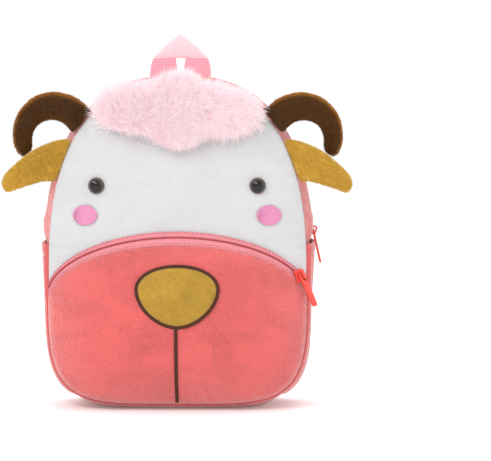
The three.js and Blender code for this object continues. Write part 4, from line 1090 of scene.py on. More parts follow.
class BackpackColours(bpy.types.PropertyGroup):
    coral: colour_setting("Coral plush", "Gusset, muzzle pocket, side pockets and back panel", 216, 93, 91)
    white: colour_setting("White plush", "The face", 195, 195, 196)
    mustard: colour_setting("Mustard plush", "Ears, straps and nose", 212, 165, 56)
    # Painted highlight: the lighter mustard along edges that turn away, on the ears, the straps and their
    # pile
    mustard_rim_highlight: colour_setting(
        "Mustard edge", "The lighter tone where mustard plush turns away", 234, 206, 120
    )
    brown: colour_setting("Brown plush", "The horns", 68, 38, 14)
    # Painted highlight: golden brown along the horns' edges, and at half strength on the tips of the brown
    # pile
    golden_highlight: colour_setting("Golden tips", "The lighter tips along the horns' edges", 186, 122, 44)
    fur: colour_setting("Forelock tips", "The pale ends of the long pile", 252, 238, 241)
    # Painted shade: the deeper pink stands in for the shade between the locks, at the fibres' roots and on
    # the forelock's backing
    fur_root_shade: colour_setting("Forelock roots", "The deeper pink between the locks", 246, 192, 204)
    webbing: colour_setting("Pink webbing", "Carrying loop and strap webbing", 252, 178, 194)
    plastic: colour_setting("Pink plastic", "Buckles", 246, 182, 197)
    zip_tape: colour_setting("Zip tape", "The woven tape on both sides of a zip's coil", 246, 150, 160)
    coil: colour_setting("Zip coil", "The zips' teeth", 176, 40, 44)
    pull: colour_setting("Zip pull", "Painted sliders and pulls", 222, 66, 52)
    cheek: colour_setting("Cheek thread", "The satin stitch of the cheeks", 218, 137, 177)
    outline: colour_setting(
        "Outline thread", "The satin stitch round the nose and down the muzzle", 80, 38, 14
    )


class BackpackSizes(bpy.types.PropertyGroup):
    stitch: length_setting("Stitch length", "One stitch of a lockstitch row, and the gap after it", 0.0032)
    thread: length_setting("Thread", "Thickness of the sewing thread", 0.0006)
    satin_step: length_setting(
        "Satin stitch step", "From one thread of a satin stitch to the next", 0.00042
    )
    tooth: length_setting("Zip tooth", "From one turn of a zip's coil to the next", 0.0014)
    short_pile: length_setting("Short pile", "Length of the plush on ears, horns and straps", 0.0013)
    long_pile: length_setting("Long pile", "Length of the forelock's fibres", 0.012)
    pucker: length_setting("Pucker", "Depth of the small gathers beside a seam", 0.0006)
    slump: length_setting("Slump", "Height of the low soft hills over a panel", 0.0008)


def colours():
    return bpy.context.scene.backpack_colours


def sizes():
    return bpy.context.scene.backpack_sizes


# Finishes


def darker(colour, share):
    return tuple(value * share for value in colour)


def paler(colour, share):
    return tuple(value + (1 - value) * share for value in colour)


def ribs(value, spacing):
    """Waves from 0 to 1 along a value, that far apart"""
    return (value * (2 * math.pi / spacing)).sine() * 0.5 + 0.5


def plush(name, colour, shade, contrast, edge=None, depth=0.0007, sheen=0.5, sheen_tint=(1, 1, 1)):
    """Short sheared pile: clouds of a darker shade where it was brushed, fibres and a painted highlight
    along the edges that the rim attribute marks
    """
    made = Finish(name)
    place = made.place()
    brushed = made.noise(made.stretched(place, (1, 1, 1.5)), 24, detail=4, distortion=0.7)
    smudges = made.noise(place, 62, detail=2, distortion=0.5).between(0.56, 0.76)
    tufts = made.noise(place, 430, detail=2, roughness=0.7)
    fibres = made.noise(place, 1700, detail=2, roughness=0.7)
    dark = (1 - brushed.between(0.36, 0.64)) * 0.45 + smudges * 0.3
    dark = dark + (1 - tufts.between(0.3, 0.7)) * 0.35
    tone = made.mix(colour, darker(colour, shade), dark * contrast)
    # Painted highlight: the edge colour is mixed in where the rim attribute marks a piece's edges
    if edge is not None:
        wear_and_highlight = made.attribute("rim").between(0.34, 0.9) * (0.55 + tufts * 0.8)
        tone = made.mix(tone, edge, wear_and_highlight)
    flecks = made.mix(tone, (1, 1, 1), fibres.between(0.48, 0.85) * 0.14)
    coarse = made.bump(tufts, depth * 1.6, strength=0.6)
    fine = made.bump(fibres, depth, strength=0.8, under=coarse)
    return made.close(
        flecks,
        0.92,
        fine,
        Sheen_Weight=sheen,
        Sheen_Roughness=0.45,
        Sheen_Tint=(*sheen_tint, 1),
        Specular_IOR_Level=0.15,
    )


def fibre(name, root, tip, strength=1.0, sheen=0.5, edge=None, painted_glow=0.0):
    """Loose fibres, with painted shade darkening them towards their roots; painted_glow is an emission
    that paints in the light that pale pile scatters
    """
    made = Finish(name)
    along = made.attribute("tip").between(0.0, 0.8)
    tone = made.attribute("tone")
    # Painted shade: each fibre darkens towards its root, as the shade inside the pile would
    colour = made.mix(root, tip, along * strength * 0.75 + tone * 0.25)
    # Painted highlight: the edge colour where the rim attribute marks a piece's edges
    if edge is not None:
        wear_and_highlight = made.attribute("rim").between(0.4, 0.92) * (0.5 + tone * 0.5)
        colour = made.mix(colour, edge, wear_and_highlight)
    return made.close(
        colour,
        0.75,
        Sheen_Weight=sheen,
        Sheen_Roughness=0.4,
        Sheen_Tint=(1, 1, 1, 1),
        Specular_IOR_Level=0.1,
        # Painted glow: the fibres emit light in their own colour, though they are no lamp
        Emission_Color=colour,
        Emission_Strength=painted_glow,
    )


def webbing_finish(name, colour, between_ribs=0.74):
    """Woven ribs across a tape, over a fine twill, a little soiled"""
    made = Finish(name)
    sewn = made.sewn()
    across, along = made.axis(sewn, "X"), made.axis(sewn, "Y")
    twill = ribs(along + across * 0.5, 0.0008)
    weave = ribs(along, 0.0019) * 0.6 + twill * 0.2 + ribs(across, 0.0011) * 0.2
    soiled = made.noise(made.place(), 60, detail=3)
    tone = made.mix(darker(colour, between_ribs), colour, weave * 0.75 + soiled * 0.3)
    height = made.bump(weave, 0.0006, strength=0.8)
    return made.close(
        tone, 0.7, height, Sheen_Weight=0.35, Sheen_Roughness=0.4, Specular_IOR_Level=0.3
    )


def tape_finish(name, colour):
    """The flat herringbone weave of a zip's tape"""
    made = Finish(name)
    sewn = made.sewn()
    across, along = made.axis(sewn, "X"), made.axis(sewn, "Y")
    slant = (across * (math.pi / 0.0011)).sine().size() * 0.0009
    bones = ribs(along + slant, 0.0009)
    wear = made.noise(made.place(), 90, detail=2)
    tone = made.mix(darker(colour, 0.7), colour, bones * 0.7 + wear * 0.4)
    height = made.bump(bones, 0.0003, strength=0.7)
    return made.close(tone, 0.72, height, Sheen_Weight=0.2, Specular_IOR_Level=0.3)


def thread_finish(name, colour, contrast=0.35, roughness=0.42, sheen=0.3):
    """Glossy twisted thread, each stitch a little different"""
    made = Finish(name)
    place = made.place()
    twist = made.noise(place, 2600, detail=1)
    tone = made.attribute("tone") * 0.6 + made.noise(place, 160) * 0.4
    colour = made.mix(darker(colour, 1 - contrast), colour, tone)
    height = made.bump(twist, 0.0002, strength=0.6)
    return made.close(colour, roughness, height, Sheen_Weight=sheen, Specular_IOR_Level=0.35)


def moulded(name, colour, roughness=0.3, flecked=0.06):
    """Smooth moulded plastic with faint flow marks"""
    made = Finish(name)
    place = made.place()
    flow = made.noise(made.stretched(place, (60, 60, 18)), 1.0, detail=3)
    grain = made.noise(place, 1300, detail=2)
    tone = made.mix(darker(colour, 1 - flecked), colour, flow)
    gloss = flow * 0.12 + (roughness - 0.05)
    height = made.bump(grain, 0.00004, strength=0.4)
    return made.close(tone, gloss, height, Coat_Weight=0.3, Coat_Roughness=0.15)


def painted(name, colour):
    """Painted metal, bare and bright towards its outer edges, which is partly rubbed paint and partly a
    painted glint
    """
    made = Finish(name)
    place = made.place()
    wear = made.noise(place, 900, detail=3)
    # The pale metal towards the outer edges is partly rubbed paint and partly a painted glint
    rubbed_and_glint = (made.attribute("wear_and_highlight") * 0.6 + wear * 0.45).between(0.9, 1.2)
    tone = made.mix(colour, (0.75, 0.72, 0.7), rubbed_and_glint)
    height = made.bump(wear, 0.00005, strength=0.5)
    return made.close(tone, 0.32 - rubbed_and_glint * 0.1, height, Coat_Weight=0.4, Coat_Roughness=0.12)


def polished_eye(name):
    """A domed black safety eye, brownish round its rim"""
    made = Finish(name)
    dust = made.noise(made.place(), 1200, detail=2)
    rim = made.attribute("rim").between(0.62, 0.86)
    tone = made.mix((0.004, 0.004, 0.004), (0.085, 0.06, 0.05), rim)
    gloss = dust * 0.05 + 0.05
    return made.close(tone, gloss, Specular_IOR_Level=0.42)


def stage_finish(name):
    made = Finish(name)
    cloud = made.noise(made.place(), 3, detail=2)
    tone = made.mix((0.9, 0.9, 0.905), (0.93, 0.93, 0.93), cloud)
    return made.close(
        tone, 0.95, Specular_IOR_Level=0.05, Emission_Color=(1, 1, 1, 1), Emission_Strength=0.12
    )


FINISH_MAKERS = {
    "coral_plush": lambda name, hue: plush(
        name, hue.coral, 0.62, 0.75, sheen=1.0, sheen_tint=(1, 0.8, 0.79)
    ),
    "white_plush": lambda name, hue: plush(name, hue.white, 0.84, 0.5, sheen=0.25, depth=0.0004),
    # The edge colours of mustard and brown plush are painted highlights
    "mustard_plush": lambda name, hue: plush(
        name,
        hue.mustard,
        0.55,
        0.9,
        edge=hue.mustard_rim_highlight,
        sheen=0.45,
        sheen_tint=(1, 0.9, 0.65),
    ),
    "brown_plush": lambda name, hue: plush(
        name,
        hue.brown,
        0.5,
        0.85,
        edge=hue.golden_highlight,
        sheen=0.25,
        sheen_tint=(1, 0.8, 0.55),
    ),
    "nose_plush": lambda name, hue: plush(name, darker(hue.mustard, 0.75), 0.56, 0.9, sheen=0.2),
    # The piles' darker roots are painted shade and their edge colours painted highlights
    "mustard_pile": lambda name, hue: fibre(
        name, darker(hue.mustard, 0.7), hue.mustard, sheen=0.15, edge=hue.mustard_rim_highlight
    ),
    "brown_pile": lambda name, hue: fibre(
        name, darker(hue.brown, 0.6), darker(hue.golden_highlight, 0.5), strength=0.8, sheen=0.0, edge=hue.golden_highlight
    ),
    # The forelock's fibres have painted shade at their roots and a painted glow; its backing takes the
    # painted root shade
    "pink_fur": lambda name, hue: fibre(name, hue.fur_root_shade, hue.fur, 1.1, sheen=0.2, painted_glow=0.17),
    "pink_fur_cloth": lambda name, hue: plush(name, hue.fur_root_shade, 0.8, 0.6),
    "pink_webbing": lambda name, hue: webbing_finish(name, hue.webbing),
    # Painted highlight: a paler, lit copy of the pink webbing for the carrying loop's fold
    "pale_webbing": lambda name, hue: webbing_finish(name, paler(hue.webbing, 0.42), 0.86),
    "pink_plastic": lambda name, hue: moulded(name, hue.plastic),
    "black_plastic": lambda name, hue: polished_eye(name),
    "coral_tape": lambda name, hue: tape_finish(name, hue.zip_tape),
    "red_coil": lambda name, hue: moulded(name, hue.coil, roughness=0.4, flecked=0.3),
    "red_metal": lambda name, hue: painted(name, hue.pull),
    "pink_stitching": lambda name, hue: thread_finish(name, hue.cheek, contrast=0.25),
    "brown_stitching": lambda name, hue: thread_finish(
        name, hue.outline, contrast=0.45, roughness=0.6, sheen=0.0
    ),
    "coral_thread": lambda name, hue: thread_finish(name, darker(hue.coral, 0.85)),
    "mustard_thread": lambda name, hue: thread_finish(name, darker(hue.mustard, 1.1), contrast=0.2),
    "studio_floor": lambda name, hue: stage_finish(name),
}
FINISHES = {}


def finish(name):
    if name not in FINISHES:
        FINISHES[name] = FINISH_MAKERS[name](name, colours())
    return FINISHES[name]


TREES = {}


def tree(name):
    if name not in TREES:
        TREES[name] = {"thread": thread_tree, "pile": pile_tree}[name]()
    return TREES[name]


# Sewing


def grow_on(made, kind, hue, node, **values):
    """Grows a tree on an object of its own and hands over what has grown"""
    tree(kind).grow(made, finish(hue), **values)
    shade_smooth(made)
    return hand_over(made, None, node, replaced=False)


def sew_row(name, points, outs, node, thread="coral_thread"):
    """A row of lockstitches along a line on the cloth"""
    stitch, width = sizes().stitch, sizes().thread
    values = {"Step": stitch, "Along": stitch * 0.72, "Across": width, "Height": width * 0.8}
    return grow_on(line_object(name, points, outs), "thread", thread, node, **values)


def sew_teeth(name, points, outs, slant, node):
    """One side of a zip's coil, leaning one way"""
    step = sizes().tooth
    values = {"Step": step, "Along": step * 0.8, "Across": COIL_WIDTH, "Height": COIL_HEIGHT}
    return grow_on(line_object(name, points, outs), "thread", "red_coil", node, **values, Slant=slant)


def satin(name, points, outs, reach, node, thread, height=0.0007):
    """Threads laid side by side across a line; reach is each one's whole length"""
    step = sizes().satin_step
    values = {"Step": step, "Along": step * 1.5, "Across": 1.0, "Height": height, "Slant": 0.12}
    return grow_on(line_object(name, points, outs, reach), "thread", thread, node, **values)


def add_pile(cloth, name, node, hue, length, density, width, lean=0.9, spread=0.5, **more):
    """Fibres over a finished piece, combed along its flow attribute"""
    made = link_object(name, cloth.data.copy())
    values = {"Length": length, "Density": density, "Width": width, "Lean": lean, "Spread": spread}
    return grow_on(made, "pile", hue, node, **values, **more)


def comb(made, flow, reach=None):
    """Lays the pile of a piece along a direction at each of its points"""
    store(made, "flow", flow)
    store(made, "reach", np.ones(len(flow)) if reach is None else reach)


def turned_away(made):
    """How far each point of the cloth has turned away from front and back, from 0 to 1"""
    return 1 - np.abs(read_normals(made)[:, 1])


# Panels


def boundary_lengths(loop):
    return path_lengths(np.vstack([loop, loop[:1]]))


def panel_object(name, loop, centre_z, dome, outward, roll, drop, rows, seed, hills):
    """A domed panel inside a closed seam: its edge rolls back by drop over the width roll"""
    lengths = boundary_lengths(loop)
    away = np.hypot(loop[:, 0], loop[:, 1] - centre_z)
    edge_turns = 1 - np.cos(np.linspace(0, math.pi / 2, 7))[:-1]
    inward = np.linspace(0, 1, rows) ** 1.5
    waves = ripple(lengths[-1], GATHER_SPACING, seed)(lengths[:-1])
    soft = slump(seed + 1, PANEL_HILL_SPACING)
    grid = []
    for turn in [*edge_turns, *(1 + inward)]:
        edge = roll * turn if turn < 1 else roll + (away - roll) * (turn - 1)
        share = np.clip(1 - edge / away, 0, 1)
        x = loop[:, 0] * share
        z = centre_z + (loop[:, 1] - centre_z) * share
        back = drop * (1 - quarter_round(edge / roll))
        gather = np.clip(edge / PANEL_GATHER_RISE, 0, 1) * np.exp(-edge / PANEL_GATHER_FADE)
        rise = sizes().pucker * gather * (waves - 0.6) * 1.8
        rise = rise + hills * sizes().slump * soft(x, z) * np.clip(edge / PANEL_HILL_FADE, 0, 1)
        y = dome(share, x, z) + outward * (np.minimum(rise, PANEL_GATHER_MOST) - back)
        grid.append(np.stack([x, y, z], -1))
    made = grid_object(name, np.stack(grid, 1), around=True)
    face_away(made, (0, 0, centre_z))
    return made


def make_face():
    made = panel_object(
        "face_cloth",
        seam_loop(440),
        FACE_CENTRE,
        lambda share, x, z: face_dome(share, z),
        outward=-1,
        roll=0.0032,
        drop=CLOTH,
        rows=34,
        seed=SEED,
        hills=0.6,
    )
    return hand_over_cloth(made, CLOTH_WALL, "white_plush", "face_panel")


def make_back():
    made = panel_object(
        "back_cloth",
        seam_loop(440),
        BACK_CENTRE,
        lambda share, x, z: back_dome(share, z),
        outward=1,
        roll=0.0036,
        drop=CLOTH,
        rows=34,
        seed=SEED + 3,
        hills=0.9,
    )
    return hand_over_cloth(made, CLOTH_WALL, "coral_plush", "back_panel")


def seam_below(top):
    """Points (x, z) of the seam below a height, from its right-hand side round the base"""
    seam = seam_loop(6000)
    below = seam[seam[:, 1] < top]
    turn = np.arctan2(below[:, 1] - POCKET_CORNER_Z - 1, below[:, 0])
    return below[np.argsort(-turn)]


def pocket_loop(count):
    """The muzzle pocket's edge: along its arch from left to right, then down round the base"""
    arch = np.stack(arch_point(POCKET_EDGE, np.linspace(-1, 1, 600)), -1)
    return even_steps(np.vstack([arch, seam_below(POCKET_CORNER_Z)]), count, closed=True)


def make_pocket():
    loop = pocket_loop(460)
    low, high = POCKET_CORNER_Z - POCKET_CORNER_FADE, POCKET_CORNER_Z + POCKET_CORNER_FADE
    on_seam = 1 - smoothstep(loop[:, 1], low, high)
    outward = seam_normal(loop[:, 0], np.minimum(loop[:, 1], POCKET_CORNER_Z))
    made = panel_object(
        "muzzle_pocket_cloth",
        loop + outward * (POCKET_SEAM_OUTSET * on_seam)[:, None],
        POCKET_CENTRE,
        pocket_dome,
        outward=-1,
        roll=0.003 + 0.0018 * on_seam,
        drop=CLOTH * 0.9 + (CLOTH + GAP) * on_seam,
        rows=36,
        seed=SEED + 5,
        hills=1.3,
    )
    return hand_over_cloth(made, CLOTH_WALL, "coral_plush", "muzzle_pocket")


def make_welt():
    """The rolled seam where the muzzle pocket meets the gusset"""
    below = even_steps(seam_below(POCKET_CORNER_Z - 0.002), 420)
    x, z = below[:, 0], below[:, 1]
    out = seam_outs(x, z)
    centre = np.stack([x, -half_depth(z) + WELT_BACK, z], -1) + out * WELT_STAND
    centre[:, 2] = np.maximum(centre[:, 2], WELT_RADIUS)
    soft = 1 + 0.12 * (ripple(1, 0.02, SEED + 17)(np.linspace(0, 1, len(x))) - 0.5)
    angle = ring_angles(12)
    radius = (WELT_RADIUS * soft)[:, None, None]
    backward = np.array([0, 1, 0]) * np.sin(angle)[None, :, None]
    sides = out[:, None] * np.cos(angle)[None, :, None] + backward
    made = loft_object("pocket_welt", centre[:, None] + radius * sides)
    shade_smooth(made)
    return hand_over(made, "coral_plush", "gusset", replaced=False)


# Gusset and side pockets


def make_gusset():
    """The band round the bag, gathered at both seams, with a slot over the top for the main zip"""
    loop = seam_loop(GUSSET_COLUMNS)
    lengths = boundary_lengths(loop)
    x, z = loop[:, 0], loop[:, 1]
    rows = [*GUSSET_ROWS, *(1 - row for row in reversed(GUSSET_ROWS))]
    lips = [*GUSSET_LIPS, *reversed(GUSSET_LIPS)]
    open_here = smoothstep(z, MAIN_ZIP_END - 0.004, MAIN_ZIP_END + 0.001)
    front = ripple(lengths[-1], GATHER_SPACING, SEED + 11)(lengths[:-1])
    back = ripple(lengths[-1], GATHER_SPACING, SEED + 12)(lengths[:-1])
    soft = slump(SEED + 13, GUSSET_HILL_SPACING)
    bulge_heights = GUSSET_BULGE * hill(z, GUSSET_BULGE_Z, GUSSET_BULGE_HEIGHT)
    upper = smoothstep(z, 0.13, 0.15) * (1 - smoothstep(z, 0.19, 0.23))
    bulge_heights = bulge_heights + GUSSET_UPPER_BULGE * upper
    grid = []
    for row, lip in zip(rows, lips):
        gathers = 0
        for away, waves in ((row, front), (1 - row, back)):
            edge = away * 2 * half_depth(z)
            near = np.clip(edge / GUSSET_GATHER_RISE, 0, 1) * np.exp(-edge / GUSSET_GATHER_FADE)
            gathers = gathers + near * (waves - 0.5)
        lift = sizes().pucker * 1.5 * gathers
        lift = lift + 0.5 * sizes().slump * soft(z, row * 0.08 + x * 0.3)
        beside_zip = hill(row, GUSSET_BULGE_ROW, GUSSET_BULGE_SPREAD)
        beside_zip = beside_zip + hill(row, 1 - GUSSET_BULGE_ROW, GUSSET_BULGE_SPREAD)
        lift = lift * smoothstep(z, 0.004, 0.03) + beside_zip * bulge_heights + lip * open_here
        grid.append(gusset_point(x, z, row, lift))
    has_cell = np.ones((GUSSET_COLUMNS, len(rows)), bool)
    is_open = z > MAIN_ZIP_END
    has_cell[is_open | np.roll(is_open, -1), len(GUSSET_ROWS) - 1] = False
    made = grid_object("gusset_cloth", np.stack(grid, 1), around=True, has_cell=has_cell)
    face_away(made, (0, 0, 0.13))
    return hand_over_cloth(made, CLOTH_WALL, "coral_plush", "gusset")


def side_stations(count):
    """Points on the right-hand seam from the side pocket's base to its mouth"""
    loop = seam_loop(6000)
    beside = (loop[:, 1] >= SIDE_POCKET_BASE) & (loop[:, 1] <= SIDE_POCKET_MOUTH)
    right = loop[(loop[:, 0] > 0) & beside]
    return even_steps(right[np.argsort(right[:, 1])], count)


def side_pocket_stand(height, row):
    """How far a side pocket's cloth stands off the gusset before its folds"""
    swell = height**SIDE_POCKET_RISE * np.sin(math.pi * row) ** SIDE_POCKET_SQUARENESS
    return GAP + (SIDE_POCKET_STAND - GAP) * swell


def make_side_pocket():
    """Both side pockets: sewn down all round, gathered by the elastic in their mouths"""
    stations = side_stations(120)
    x, z = stations[:, 0], stations[:, 1]
    height = (z - SIDE_POCKET_BASE) / (SIDE_POCKET_MOUTH - SIDE_POCKET_BASE)
    from_base = path_lengths(stations)
    from_mouth = from_base[-1] - from_base
    low, high = SIDE_POCKET_EDGE, 1 - SIDE_POCKET_EDGE
    rows = low + (high - low) * (1 - np.cos(np.linspace(0, math.pi, 73))) / 2
    elastic = ripple(SIDE_POCKET_CURVE, 0.0062, SEED + 21)
    folds = ripple(SIDE_POCKET_CURVE, 0.019, SEED + 22)
    grid = []
    for row in rows:
        side_edge = min(row - low, high - row) * 2 * half_depth(z)
        edge = np.minimum(side_edge, from_base * 0.1)
        tuck = POCKET_CLOTH * (1 - quarter_round(edge / 0.0014))
        along = row * SIDE_POCKET_CURVE
        gathers = SIDE_POCKET_GATHER * elastic(along) * hill(from_mouth, 0.005, 0.007)
        hem = SIDE_POCKET_HEM_DEPTH * hill(from_mouth, SIDE_POCKET_HEM, 0.0013)
        drape = SIDE_POCKET_DRAPE * folds(along) * np.exp(-from_mouth / 0.045)
        drape = drape * np.clip(side_edge / 0.01, 0, 1)
        soft = np.clip(side_edge / 0.004, 0, 1) * (gathers + drape)
        lift = side_pocket_stand(height, row) + POCKET_CLOTH - tuck + soft - hem
        wall = quarter_round(side_edge / 0.003)
        lift = SIDE_POCKET_SEWN + (lift - SIDE_POCKET_SEWN) * wall
        grid.append(gusset_point(x, z, row, lift))
    made = grid_object("side_pocket_cloth_right", np.stack(grid, 1))
    face_away(made, (0, 0, 0.09))
    thicken(made, POCKET_CLOTH_WALL)
    shade_smooth(made)
    hand_over_pair(made, "coral_plush", "side_pocket_right")
    index = int(np.argmin(np.abs(from_mouth - SIDE_POCKET_HEM)))
    row = np.linspace(0.06, 0.94, 80)
    lift = side_pocket_stand(height[index], row) + POCKET_CLOTH - 0.0003
    hem_line = gusset_point(x[index], z[index], row, lift)
    for side, node in ((1, "side_pocket_right"), (-1, "side_pocket_left")):
        outs = np.tile([side, 0, 0.0], (len(row), 1))
        sew_row(f"hem_stitches_{node}", hem_line * (side, 1, 1), outs, node)


# Zips


def make_pocket_zip():
    along = np.linspace(-1, 1, 361)
    shares = np.array(POCKET_TAPE_ROWS)
    path = pocket_zip_point(along, 0.5, 0)
    tape = zip(POCKET_TAPE_ROWS, POCKET_TAPE_HUMPS)
    grid = np.stack([pocket_zip_point(along, share, hump) for share, hump in tape], 1)
    width = np.linalg.norm(grid[180, -1] - grid[180, 0])
    uv = np.stack(np.broadcast_arrays(shares[None, :] * width, path_lengths(path)[:, None]), -1)
    made = grid_object("pocket_zip_tape", grid, uv=uv)
    face_away(made, (0, 0, 0.05))
    hand_over_cloth(made, TAPE_WALL, "coral_tape", "pocket_zipper")
    across = pocket_zip_point(along, 0.54, 0) - pocket_zip_point(along, 0.4, 0)
    outs = unit_forward(np.cross(np.gradient(path, axis=0), across))
    for name, share, slant in (("upper", 0.445, COIL_SLANT), ("lower", 0.5, -COIL_SLANT)):
        points = pocket_zip_point(along, share, 0) + outs * 0.0005
        sew_teeth(f"pocket_zip_teeth_{name}", points[4:-4], outs[4:-4], slant, "pocket_zipper")
    for name, share in (("face", 0.1), ("pocket", 0.9)):
        points = pocket_zip_point(along, share, 0) + outs * 0.0003
        sew_row(f"pocket_zip_stitches_{name}", points[3:-3], outs[3:-3], "pocket_zipper")


def make_main_zip():
    loop = seam_loop(900)
    upper = loop[loop[:, 1] > MAIN_ZIP_END - 0.001]
    upper = upper[np.argsort(np.arctan2(upper[:, 1] - 0.1, upper[:, 0]))]
    x, z = upper[:, 0], upper[:, 1]
    grid = np.stack([gusset_point(x, z, row, -MAIN_ZIP_RECESS) for row in MAIN_TAPE_ROWS], 1)
    width = grid[0, -1, 1] - grid[0, 0, 1]
    rows = np.array(MAIN_TAPE_ROWS)
    across = (rows[None, :] - rows[0]) / (rows[-1] - rows[0]) * width
    uv = np.stack(np.broadcast_arrays(across, path_lengths(upper)[:, None]), -1)
    made = grid_object("main_zip_tape", grid, uv=uv)
    face_away(made, (0, 0, 0.1))
    hand_over_cloth(made, TAPE_WALL, "coral_tape", "main_zipper")
    outs = seam_outs(x, z)
    for name, row, slant in (("front", 0.489, COIL_SLANT), ("back", 0.511, -COIL_SLANT)):
        points = gusset_point(x, z, row, -MAIN_ZIP_RECESS + 0.0004)
        sew_teeth(f"main_zip_teeth_{name}", points[3:-3], outs[3:-3], slant, "main_zipper")
    for name, row in (("front", 0.385), ("back", 0.615)):
        points = gusset_point(x, z, row, 0.0005)
        sew_row(f"main_zip_stitches_{name}", points[3:-3], outs[3:-3], "gusset")


def taper(made, share):
    """Narrows a pull across its length, from its full width at the hinge to that share at the tip"""
    points = read_points(made)
    middle = points.mean(0)
    axes = np.linalg.svd(points - middle, full_matrices=False)[2]
    along = (points - middle) @ axes[0] * -np.sign(axes[0][2])
    across = (points - middle) @ axes[1]
    tipward = smoothstep((along - along.min()) / np.ptp(along), 0.15, 0.6)
    write_points(made, points + ((share - 1) * tipward * across)[:, None] * axes[1])


def make_zip_metal():
    for node in ("pocket_slider", "pocket_pull", "main_slider", "main_pull"):
        made = copy_of_node(node, node + "_metal")
        if node.endswith("pull"):
            taper(made, PULL_TAPER)
        soften_edges(made, 0.00025)
        shade_smooth(made, 40)
        middle = read_points(made).mean(0)
        reach = np.linalg.norm(read_points(made) - middle, axis=1)
        # How far each point lies towards the outer edges, where the finish paints pale metal: partly
        # rubbed paint, partly a painted glint
        store(made, "wear_and_highlight", (reach / reach.max()) ** 2)
        hand_over(made, "red_metal", node)


# Trims


def lay_base(node, hue):
    """The pad under an embroidery, cut as its solid is"""
    hand_over(copy_of_node(node, node + "_base"), hue, node)


def nose_reach(angle):
    """Distance from the nose's centre to its edge in a direction"""
    up = np.sin(angle) >= 0
    power = np.where(up, NOSE_TOP_ROUNDNESS, NOSE_BASE_ROUNDNESS)
    height = np.where(up, NOSE_UP, NOSE_DOWN)
    across = np.abs(np.cos(angle)) / NOSE_HALF_WIDTH
    upward = np.abs(np.sin(angle)) / height
    return (across**power + upward**power) ** (-1 / power)


def nose_point(angle, inset, lift):
    reach = nose_reach(angle) - inset
    x = NOSE_CENTRE_X + reach * np.cos(angle)
    z = NOSE_CENTRE_Z + reach * np.sin(angle)
    return np.stack([x, pocket_y(x, z) - GAP - lift, z], -1)


def make_nose():
    angle = ring_angles(180)
    edge = nose_reach(angle) - NOSE_LINE - 0.0002
    grid = []
    for share, lift in zip(NOSE_SHARES, NOSE_LIFTS):
        x = NOSE_CENTRE_X + edge * share * np.cos(angle)
        z = NOSE_CENTRE_Z + edge * share * np.sin(angle)
        grid.append(np.stack([x, pocket_y(x, z) - GAP - lift * NOSE_PAD, z], -1))
    made = grid_object("nose_plush", np.stack(grid, 1), around=True)
    face_away(made, (0, 0.2, 0.09))
    shade_smooth(made)
    hand_over(made, "nose_plush", "nose_patch")
    lay_base("nose_outline", "brown_stitching")
    angle = np.linspace(0, 2 * math.pi, 361)
    points = nose_point(angle, NOSE_LINE / 2, EMBROIDERY * 0.9)
    outs = np.tile([0, -1.0, 0], (len(angle), 1))
    reach = np.full(len(angle), NOSE_LINE * 1.3)
    satin("nose_outline_threads", points, outs, reach, "nose_outline", "brown_stitching")


def make_mouth():
    lay_base("mouth_line", "brown_stitching")
    low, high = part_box("mouth_line")
    z = np.linspace(high.z - 0.0004, low.z + 0.0015, 160)
    x = np.full_like(z, (low.x + high.x) / 2)
    points = np.stack([x, pocket_y(x, z) - GAP - EMBROIDERY * 0.9, z], -1)
    tangent = np.gradient(points, axis=0)
    outs = unit(np.stack([np.zeros_like(z), tangent[:, 2], -tangent[:, 1]], -1))
    reach = np.full(len(z), (high.x - low.x) * 1.2)
    satin("mouth_line_threads", points, outs, reach, "mouth_line", "brown_stitching")


def make_eyes():
    turn = ring_angles(48)
    for node in ("eye_right", "eye_left"):
        low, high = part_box(node)
        middle = (low + high) / 2
        radius = (high.x - low.x) / 2
        depth = high.y - low.y
        # Radius and stand of each ring as shares: the shank's disc, a rolled rim and the dome
        rings = [(0, 0), (0.9, 0), (0.97, 0.08), (1, 0.2), (0.995, 0.3), (0.96, 0.42)]
        for rise in np.linspace(0.1, 1.45, 12):
            rings.append((math.cos(rise) * 0.94, 0.44 + 0.56 * math.sin(rise)))
        rings.append((0, 1))
        grid = []
        for share, stand in rings:
            x = middle.x + radius * share * np.cos(turn)
            z = middle.z + radius * share * np.sin(turn)
            grid.append(np.stack([x, np.full_like(x, high.y - depth * stand), z], -1))
        made = grid_object(node + "_dome", np.stack(grid, 1), around=True)
        tidy_mesh(made, recalculate=True)
        points = read_points(made)
        store(made, "rim", np.hypot(points[:, 0] - middle.x, points[:, 2] - middle.z) / radius)
        shade_smooth(made)
        hand_over(made, "black_plastic", node)


def make_cheeks():
    for node in ("cheek_right", "cheek_left"):
        lay_base(node, "pink_stitching")
        low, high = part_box(node)
        middle = (low + high) / 2
        z = np.linspace(low.z + 0.0003, high.z - 0.0003, 60)
        x = np.full_like(z, middle.x)
        reach = 2 * CHEEK_HALF_WIDTH * np.sqrt(1 - ((z - CHEEK_Z) / CHEEK_HALF_HEIGHT) ** 2)
        points = np.stack([x, face_y(x, z) - GAP - EMBROIDERY * 0.75, z], -1)
        beside = np.stack([x + 0.004, face_y(x + 0.004, z) - GAP - EMBROIDERY * 0.75, z], -1)
        outs = unit_forward(np.cross(np.gradient(points, axis=0), beside - points))
        satin(node + "_threads", points, outs, reach, node, "pink_stitching", height=0.0006)


# Stuffed pieces


